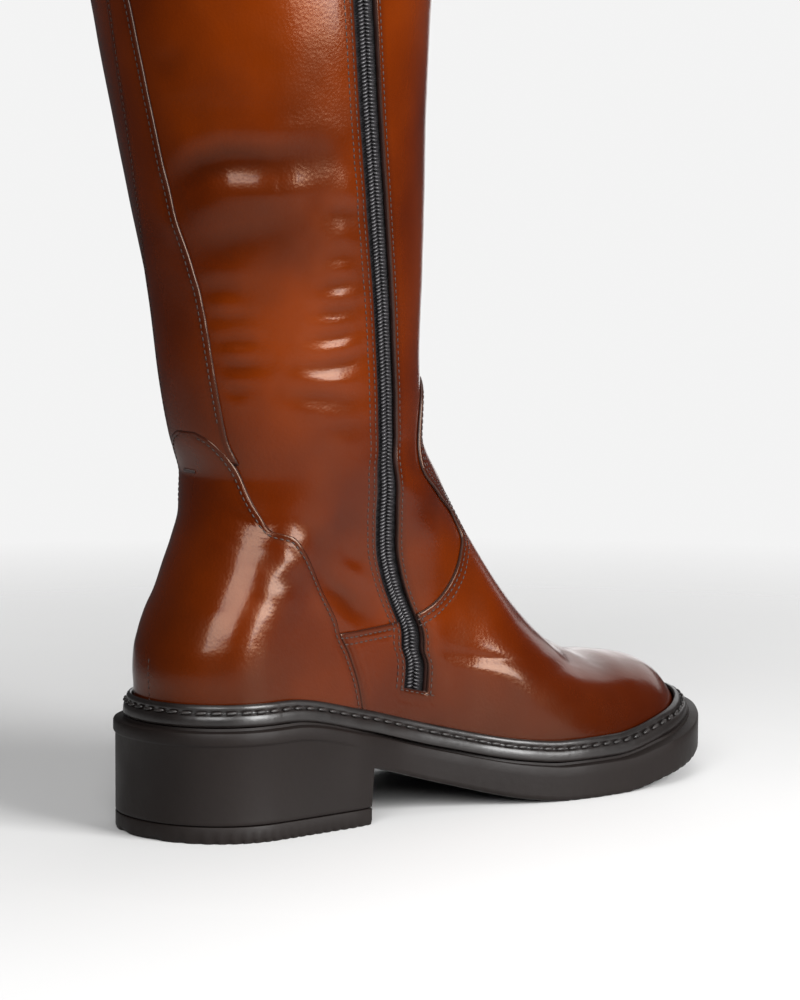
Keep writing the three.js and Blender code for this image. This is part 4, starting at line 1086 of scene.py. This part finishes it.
def welt_ring(count, section):
    """Sections of the welt round the boot."""
    seat = CLEARANCE + COUNTER + CLEARANCE
    turn = np.linspace(0, 1, count, endpoint=False)[:, None]
    out, up = (section[name][None] for name in ("out", "up"))
    level = up * WELT_HEIGHT / FIRST_RISE + 0 * turn
    outward = level_outward(turn + 0 * level, level)
    point = upper_point(turn + 0 * level, level) + outward * (seat + out * WELT_WIDTH)[..., None]
    point[..., 2] = lip_height(-point[..., 1]) + SEAT_CLEARANCE + up * WELT_HEIGHT
    return point, outward


def colour_setting(name, description, value):
    return FloatVectorProperty(name=name, description=description, subtype="COLOR", default=value)


def length_setting(name, description, value):
    return FloatProperty(name=name, description=description, unit="LENGTH", default=value)


class BootLeather(bpy.types.PropertyGroup):
    warm_colour: colour_setting("Warm brown", "Leather where it is lightest", (0.1, 0.0135, 0.0001))
    deep_colour: colour_setting("Deep brown", "Leather in its darker clouds", (0.042, 0.0044, 0.0001))
    # Burnt brown darkens the patches, the strip beside the seams and the leather low down, and is also the
    # painted shade in the creases.
    burnt_and_crease_shade_colour: colour_setting("Burnt brown", "Burnish at seams and low down", (0.016, 0.0022, 0.0005))
    edge_colour: colour_setting("Edge paint", "Paint on cut edges", (0.02, 0.008, 0.006))
    lining_colour: colour_setting("Lining", "Inside of the shaft", (0.45, 0.3, 0.17))


class BootThread(bpy.types.PropertyGroup):
    pitch: length_setting("Pitch", "Between stitches", 0.0024)
    stitch: length_setting("Stitch", "Length of a stitch", 0.0019)
    thickness: length_setting("Thread", "Thickness of the thread", 0.0006)
    welt_pitch: length_setting("Welt pitch", "Between welt stitches", 0.0058)
    colour: colour_setting("Thread", "Its colour", (0.022, 0.007, 0.0035))


class BootZip(bpy.types.PropertyGroup):
    pitch: length_setting("Pitch", "Between turns of the coil", 0.0014)
    chain: length_setting("Chain", "Width of the closed coil", 0.0058)
    colour: colour_setting("Zip", "Coil and tape", (0.012, 0.011, 0.012))
    metal_colour: colour_setting("Metal", "Slider", (0.12, 0.1, 0.085))


class BootSole(bpy.types.PropertyGroup):
    rubber_colour: colour_setting("Rubber", "Sole and heel", (0.006, 0.004, 0.0034))
    welt_colour: colour_setting("Welt", "Welt and its stitches", (0.005, 0.0036, 0.0032))
    tread_pitch: length_setting("Tread", "Between bars of the tread", 0.0055)
    notch: length_setting("Notch", "Depth of the edge's notches", 0.0007)


class BuildUpper(bpy.types.Operator):
    """Shaft and quarters with their lining"""

    bl_idname = "boot.build_upper"
    bl_label = "Upper"

    def execute(self, context):
        sizes = context.scene.boot_leather
        sheet = upper_sheet()
        outer = sheet.layer(-0.5, 0.5)
        piece = sheet.solid("upper_shaft", outer, np.full_like(outer, -WALL))
        relief = (500, 0.2, 0.0003)
        lining = plain_finish("lining_leather", sizes.lining_colour, 0.8, 30, 0.72, relief)
        edge = plain_finish("edge_paint", sizes.edge_colour, 1.8, 90, 0.4, (400, 0.2, 0.0002))
        leather = polished_leather("polished_leather", sizes)
        finish_piece(piece, "upper", "leather", leather, lining, edge)
        return {"FINISHED"}


class BuildOverlays(bpy.types.Operator):
    """Vamp, heel counter and back strip"""

    bl_idname = "boot.build_overlays"
    bl_label = "Overlays"

    def execute(self, context):
        sizes = context.scene.boot_leather
        leather = polished_leather("overlay_leather", sizes)
        edge = bpy.data.materials["edge_paint"]
        rows = (STITCH_INSET, STITCH_INSET + STITCH_GAP)
        for name, node, sheet, thickness, stitches in (
            ("vamp_leather", "vamp", vamp_sheet(), OVERLAY, rows),
            ("heel_counter_leather", "heel_counter", counter_sheet(), COUNTER, rows[:1]),
            ("back_strip_leather", "back_strip", strip_sheet(), OVERLAY, rows[:1]),
        ):
            outer = sheet.layer(CLEARANCE, thickness, stitches)
            piece = sheet.solid(name, outer, np.full_like(outer, CLEARANCE / 2))
            finish_piece(piece, node, "leather", leather, leather, edge)
        return {"FINISHED"}


class BuildStitching(bpy.types.Operator):
    """Stitch rows on the leather and the small bar at the back"""

    bl_idname = "boot.build_stitching"
    bl_label = "Stitching"

    def execute(self, context):
        thread = context.scene.boot_thread
        waxed = plain_finish("waxed_thread", thread.colour, 0.5, 300, 0.6, (1500, 0.4, 0.0002))
        sizes = {"Pitch": thread.pitch, "Length": thread.stitch}
        sizes |= {"Width": thread.thickness, "Height": 0.7 * thread.thickness}
        path = path_object("leather_rows", leather_rows())
        finish_piece(beads_along("leather_stitching", path, sizes, waxed), None, "leather")
        bar = [row_on(np.linspace(*BAR_TURNS, 9), BAR_LEVEL, CLEARANCE + COUNTER + 0.1)]
        sizes = {"Pitch": 0.0007, "Length": 0.0009, "Width": 0.0016, "Height": 0.0009}
        dark = bpy.data.materials["edge_paint"]
        finish_piece(beads_along("back_bar", path_object("bar_row", bar), sizes, dark), None, "leather")
        return {"FINISHED"}


# Coil of the zip: how far its two sides stand from the middle and how long a turn is, as
# shares of its width, a turn's width and height in metres, and its roll in radians.
COIL_ASIDE = 0.27
COIL_LENGTH = 0.56
COIL_WIDTH = 0.00105
COIL_HEIGHT = 0.0015
COIL_ROLL = 1.32


class BuildZip(bpy.types.Operator):
    """Zip tape and its coil"""

    bl_idname = "boot.build_zip"
    bl_label = "Zip"

    def execute(self, context):
        zip_sizes = context.scene.boot_zip
        level = rising_levels(ZIP_FOOT_LEVEL - ZIP_END, COLLAR_LEVEL - 0.02, TAPE_ROWS)
        middle = zip_around(level)
        half = turns_across(ZIP_TAPE_WIDTH / 2, middle, level)
        tape = Sheet(beside(middle - half, middle + half, level, TAPE_COLUMNS), level)
        outer = np.full(tape.turn.shape, -(WALL + CLEARANCE))
        piece = tape.solid("woven_zip_tape", outer, outer - ZIP_TAPE)
        woven = woven_textile("woven_tape", zip_sizes.colour)
        finish_piece(piece, "zip_tape", "zip_textile", woven, woven, woven)
        nylon = plain_finish("coil_nylon", zip_sizes.colour, 2.2, 400, 0.34, (900, 0.2, 0.0002))
        chain = zip_sizes.chain / MM
        halves = []
        level = np.linspace(ZIP_FOOT_LEVEL + 0.12, COLLAR_LEVEL - 0.15, 420)
        for side, roll in ((-1, COIL_ROLL), (1, -COIL_ROLL)):
            turn = zip_around(level) + side * turns_across(COIL_ASIDE * chain, zip_around(level), level)
            line, normal = row_on(turn, level, -WALL + 0.62 * ZIP_CHAIN_DEPTH)
            shift = 0 if side < 0 else 1
            path = path_object("coil_side", [(line[shift:], normal[shift:])])
            sizes = {"Pitch": zip_sizes.pitch, "Length": COIL_LENGTH * zip_sizes.chain}
            sizes |= {"Width": COIL_WIDTH, "Height": COIL_HEIGHT}
            halves.append(beads_along("coil_half", path, sizes, nylon, roll))
        piece, other = halves
        with edited(piece.data) as form:
            form.from_mesh(other.data)
        bpy.data.objects.remove(other)
        piece.name = "zip_coil"
        finish_piece(piece, "zip_teeth", "zip_chain")
        return {"FINISHED"}


# Metal parts: angles in radians of an edge inside a flat face and of a corner, and the
# width of a softened corner in metres.
FLAT_ANGLE = 0.01
CORNER_ANGLE = 0.7
METAL_BEVEL = 0.00022


class BuildHardware(bpy.types.Operator):
    """Slider and pull of the zip, with softened edges"""

    bl_idname = "boot.build_hardware"
    bl_label = "Slider and pull"

    def execute(self, context):
        colour = context.scene.boot_zip.metal_colour
        metal = plain_finish("dark_metal", colour, 0.6, 160, 0.32, (900, 0.1, 0.0001), Metallic=1.0)
        for node, name, body in (("zip_slider", "slider_body", "boot"), ("zip_pull", "pull_tab", "pull")):
            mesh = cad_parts[node].data.copy()
            mesh.materials.clear()
            piece = linked(name, mesh)
            with edited(mesh) as form:
                bmesh.ops.remove_doubles(form, verts=form.verts, dist=1e-6)
                whole = [edge for edge in form.edges if edge.is_manifold]
                flat = [edge for edge in whole if edge.calc_face_angle(0) < FLAT_ANGLE]
                bmesh.ops.dissolve_edges(form, edges=flat, use_verts=False)
                whole = [edge for edge in form.edges if edge.is_manifold]
                corner = [edge for edge in whole if edge.calc_face_angle(0) > CORNER_ANGLE]
                bmesh.ops.bevel(
                    form, geom=corner, offset=METAL_BEVEL, segments=2, affect="EDGES", clamp_overlap=True
                )
                for face in form.faces:
                    face.smooth = True
            sharpen(piece, 35)
            finish_piece(piece, node, "zip_metal", metal, body=body)
        return {"FINISHED"}


class BuildSole(bpy.types.Operator):
    """Sole with its heel, and the heel's lift"""

    bl_idname = "boot.build_sole"
    bl_label = "Sole"

    def execute(self, context):
        sizes = context.scene.boot_sole
        colour = sizes.rubber_colour
        relief = (420, 0.22, 0.0003)
        rubber = plain_finish("sole_rubber", colour, 1.3, 22, 0.52, relief, Specular_IOR_Level=0.17)
        tread = tread_rubber("tread_rubber", colour, sizes.tread_pitch)
        heel, fore = sole_stations(60, 150)
        station = np.concatenate([heel, fore])
        is_heel = station < HEEL_BREAST - 0.5 * BREAST_SLOPE
        cove, lip = cove_at(station), lip_height(station)
        under = np.where(is_heel, HEEL_LIFT + CLEARANCE, lip - edge_thickness(station))
        edge = np.where(is_heel, LIFT_GROOVE, SOLE_SOFT_EDGE)
        wave = np.clip(np.sin(2 * np.pi * station / (sizes.tread_pitch / MM)) - 0.3, 0, 1)
        notch = np.where(is_heel, 0, wave * sizes.notch / MM)
        soft = SOLE_SOFT_EDGE
        sole_rings = (
            (cove + edge + notch, under),
            (cove + 0.3 * edge + notch, under + 0.3 * edge),
            (cove + 0.4 * notch, under + edge),
            (cove, under + edge + 0.9),
            (cove, lip - LIP_DEPTH - COVE - 0.4),
            (0.75 * cove, lip - LIP_DEPTH - COVE + 0.1),
            (0.25 * cove, lip - LIP_DEPTH - 0.35),
            (0, lip - LIP_DEPTH + 0.2),
            (0, lip - soft),
            (0.3 * soft, lip - 0.3 * soft),
            (soft, lip),
            (SEAT_INSET - 0.4, lip),
            (SEAT_INSET, lip + 0.9 * SEAT_CLEARANCE),
        )
        heel = sole_stations(90, 2)[0]
        cove = cove_at(heel)
        wave = np.clip(np.sin(2 * np.pi * heel / LIFT_NOTCH_PITCH) - 0.1, 0, 1)
        notch = wave * sizes.notch / MM
        groove = LIFT_GROOVE
        lift_rings = (
            (cove + groove + 1.6 * notch, 0.0),
            (cove + 0.3 * groove + 1.6 * notch, 0.3 * groove),
            (cove + 0.8 * notch, 1.3),
            (cove, 1.9),
            (cove, HEEL_LIFT - groove),
            (cove + 0.3 * groove, HEEL_LIFT - 0.3 * groove),
            (cove + groove, HEEL_LIFT),
        )
        for name, node, slot, place, rings in (
            ("sole_and_heel", "outsole", "sole_rubber", station, sole_rings),
            ("heel_lift_rubber", "heel_lift", "lift_rubber", heel, lift_rings),
        ):
            piece = stacked(name, [sole_loop(place, inset, height) for inset, height in rings])
            sharpen(piece, 38)
            finish_piece(piece, node, slot, rubber, tread)
        return {"FINISHED"}


class BuildWelt(bpy.types.Operator):
    """Welt with its rolled bead and its stitches"""

    bl_idname = "boot.build_welt"
    bl_label = "Welt"

    def execute(self, context):
        colour = context.scene.boot_sole.welt_colour
        point = welt_ring(WELT_STATIONS, WELT_SECTION)[0]
        rows, columns = point.shape[:2]
        number = np.arange(rows * columns).reshape(rows, columns)
        after, beside_it = np.roll(number, -1, 0), np.roll(number, -1, 1)
        corner = np.roll(after, -1, 1)
        faces = np.stack([number, beside_it, corner, after], -1).reshape(-1, 4)
        piece = mesh_piece("welt_band", point.reshape(-1, 3), faces)
        satin = plain_finish("welt_finish", colour, 1.8, 40, 0.34, (350, 0.25, 0.0004))
        finish_piece(piece, "welt", "welt", satin)
        line, normal = welt_ring(WELT_STATIONS, WELT_ROW)
        outward = unit(normal[:, 0] + [0, 0, 1.1])
        closed = np.arange(WELT_STATIONS + 1) % WELT_STATIONS
        path = path_object("welt_row", [(line[closed, 0], outward[closed])])
        cord = plain_finish("welt_thread", colour, 2.4, 200, 0.5, (1200, 0.4, 0.0002))
        sizes = {"Pitch": context.scene.boot_thread.welt_pitch, "Length": 0.0049}
        sizes |= {"Width": 0.0014, "Height": 0.0012}
        finish_piece(beads_along("welt_stitching", path, sizes, cord, 0.12), None, "welt")
        return {"FINISHED"}


class BuildInsole(bpy.types.Operator):
    """Insole inside the upper"""

    bl_idname = "boot.build_insole"
    bl_label = "Insole"

    def execute(self, context):
        colour = context.scene.boot_leather.lining_colour
        half = 90
        turn = 0.5 * (1 - np.linspace(0, 1, half + 1))
        turn = np.concatenate([turn, 1 - turn[::-1]])

        def loop(rise, inset):
            level = np.full_like(turn, rise / FIRST_RISE)
            outward = level_outward(turn, level)
            place = upper_point(turn, level) - outward * (WALL + 2 * CLEARANCE + inset)
            place[:, 2] = lip_height(-place[:, 1]) + SEAT_CLEARANCE + rise
            return place

        loops = [loop(0, 0), loop(INSOLE - 0.8, 0), loop(INSOLE - 0.25, 0.25), loop(INSOLE, 0.9)]
        piece = stacked("insole_leather", loops)
        sharpen(piece, 50)
        sock = plain_finish("sock_leather", colour, 0.75, 24, 0.75, (480, 0.2, 0.0003))
        finish_piece(piece, "insole", "lining", sock, sock)
        return {"FINISHED"}


# Camera, in millimetres and degrees: it stands back from a middle of the boot.
CAMERA_MIDDLE = (0, -110, 150)
CAMERA_DISTANCE = 1500
CAMERA_AZIMUTH = 38.65
CAMERA_ELEVATION = 5.24
CAMERA_ROLL = 0.2
CAMERA_LENS = 139.11
CAMERA_SENSOR = 36
CAMERA_ASIDE = 0.00924
CAMERA_DOWN = 0.02028
# Far end of the camera's view, the floor's radius, and from where to where the floor
# fades into the background, in metres.
CAMERA_CLIP = 60
FLOOR_RADIUS = 12
FLOOR_FADE = (0.22, 0.85)
FLOOR_COLOURS = (0.55, 0.548, 0.545), (0.58, 0.577, 0.574)
# What the camera sees behind the floor, and what lights the boot from all round.
SEEN_COLOUR = (0.9, 0.9, 0.9, 1)
LIT_COLOUR = (0.93, 0.96, 1, 1)
LIT_STRENGTH = 0.07
# Softboxes: name, direction from the boot, distance, width, height, power.
SOFTBOXES = (
    ("side", (-0.97, -0.2, 0.31), 1.35, 0.72, 0.9, 42),
    ("back", (-0.62, 0.68, 0.43), 1.6, 0.9, 0.8, 24),
    ("front", (0.35, -1.0, 0.5), 2.0, 1.0, 1.2, 5),
    ("outer", (0.69, -0.72, 0.2), 1.8, 0.6, 1.1, 3),
    ("roof", (-0.1, -0.05, 1.0), 2.0, 1.8, 1.8, 17),
)


class BuildStage(bpy.types.Operator):
    """Floor, light and camera"""

    bl_idname = "boot.build_stage"
    bl_label = "Stage"

    def execute(self, context):
        scene = context.scene
        f = Finish("pale_floor", Roughness=0.75)
        tone = f.ranged(f.noise(3, 2), 0.3, 0.7, 0.0, 1.0)
        f.out(Base_Color=f.mix(tone, *FLOOR_COLOURS))
        away = f.add("VectorMath", {"operation": "LENGTH"}, _0=f.place).outputs["Value"]
        clear = f.add("BsdfTransparent")
        blend = f.add("MixShader", _0=f.ranged(away, *FLOOR_FADE, 0.0, 1.0))
        f.links.new(f.shader.outputs[0], blend.inputs[1])
        f.links.new(clear.outputs[0], blend.inputs[2])
        f.links.new(blend.outputs[0], f.nodes["Material Output"].inputs["Surface"])
        mesh = bpy.data.meshes.new("floor")
        with edited(mesh) as form:
            bmesh.ops.create_circle(form, cap_ends=True, radius=FLOOR_RADIUS, segments=64)
        mesh.materials.append(f.material)
        linked("floor", mesh)
        world = bpy.data.worlds.new("studio")
        world.use_nodes = True
        nodes, links = world.node_tree.nodes, world.node_tree.links
        seen, lit = nodes["Background"], nodes.new("ShaderNodeBackground")
        seen.inputs["Color"].default_value = SEEN_COLOUR
        lit.inputs["Color"].default_value = LIT_COLOUR
        lit.inputs["Strength"].default_value = LIT_STRENGTH
        blend, ray = nodes.new("ShaderNodeMixShader"), nodes.new("ShaderNodeLightPath")
        links.new(ray.outputs["Is Camera Ray"], blend.inputs[0])
        links.new(lit.outputs[0], blend.inputs[1])
        links.new(seen.outputs[0], blend.inputs[2])
        links.new(blend.outputs[0], nodes["World Output"].inputs["Surface"])
        scene.world = world
        middle = (np.array(CAMERA_MIDDLE) + SHIFT) * MM
        for name, direction, distance, width, height, power in SOFTBOXES:
            light = bpy.data.lights.new("softbox_" + name, "AREA")
            light.shape, light.size, light.size_y, light.energy = "RECTANGLE", width, height, power
            box = linked("softbox_" + name, light)
            way = Vector(direction).normalized()
            box.matrix_world = Matrix.Translation(Vector(middle) + way * distance) @ (
                way.to_track_quat("Z", "Y").to_matrix().to_4x4()
            )
            box.visible_camera = False
        azimuth, lift, roll = np.radians([CAMERA_AZIMUTH, CAMERA_ELEVATION, CAMERA_ROLL])
        back = Vector((-np.cos(azimuth) * np.cos(lift), np.sin(azimuth) * np.cos(lift), np.sin(lift)))
        level = Vector((0, 0, 1)).cross(back).normalized()
        upright = back.cross(level)
        right = level * np.cos(roll) + upright * np.sin(roll)
        up = upright * np.cos(roll) - level * np.sin(roll)
        look = (-back + right * CAMERA_ASIDE - up * CAMERA_DOWN).normalized()
        right = (right - look * right.dot(look)).normalized()
        up = right.cross(look)
        camera = linked("camera", bpy.data.cameras.new("camera"))
        camera.data.lens, camera.data.sensor_width = CAMERA_LENS, CAMERA_SENSOR
        camera.data.clip_end = CAMERA_CLIP
        turn = Matrix((right, up, -look)).transposed().to_4x4()
        stand = Vector(middle) + back * CAMERA_DISTANCE * MM
        camera.matrix_world = Matrix.Translation(stand) @ turn
        scene.camera = camera
        scene.view_settings.view_transform = "Standard"
        return {"FINISHED"}


GROUPS = {"boot_leather": BootLeather, "boot_thread": BootThread, "boot_zip": BootZip, "boot_sole": BootSole}
BUILDERS = (
    BuildUpper,
    BuildOverlays,
    BuildStitching,
    BuildZip,
    BuildHardware,
    BuildSole,
    BuildWelt,
    BuildInsole,
    BuildStage,
)


class BootPanel(bpy.types.Panel):
    """Sizes, colours and builders of the boot"""

    bl_label = "Boot"
    bl_idname = "VIEW3D_PT_boot"
    bl_space_type = "VIEW_3D"
    bl_region_type = "UI"
    bl_category = "Boot"

    def draw(self, context):
        for name, group in GROUPS.items():
            box = self.layout.box()
            for key in group.__annotations__:
                box.prop(getattr(context.scene, name), key)
        for builder in BUILDERS:
            self.layout.operator(builder.bl_idname)


def register():
    for item in (*GROUPS.values(), *BUILDERS, BootPanel):
        bpy.utils.register_class(item)
    for name, group in GROUPS.items():
        setattr(bpy.types.Scene, name, PointerProperty(type=group))


def unregister():
    for name in GROUPS:
        delattr(bpy.types.Scene, name)
    for item in (BootPanel, *reversed(BUILDERS), *GROUPS.values()):
        bpy.utils.unregister_class(item)


def main():
    register()
    for builder in BUILDERS:
        group, name = builder.bl_idname.split(".")
        getattr(getattr(bpy.ops, group), name)()


if __name__ == "__main__":
    main()
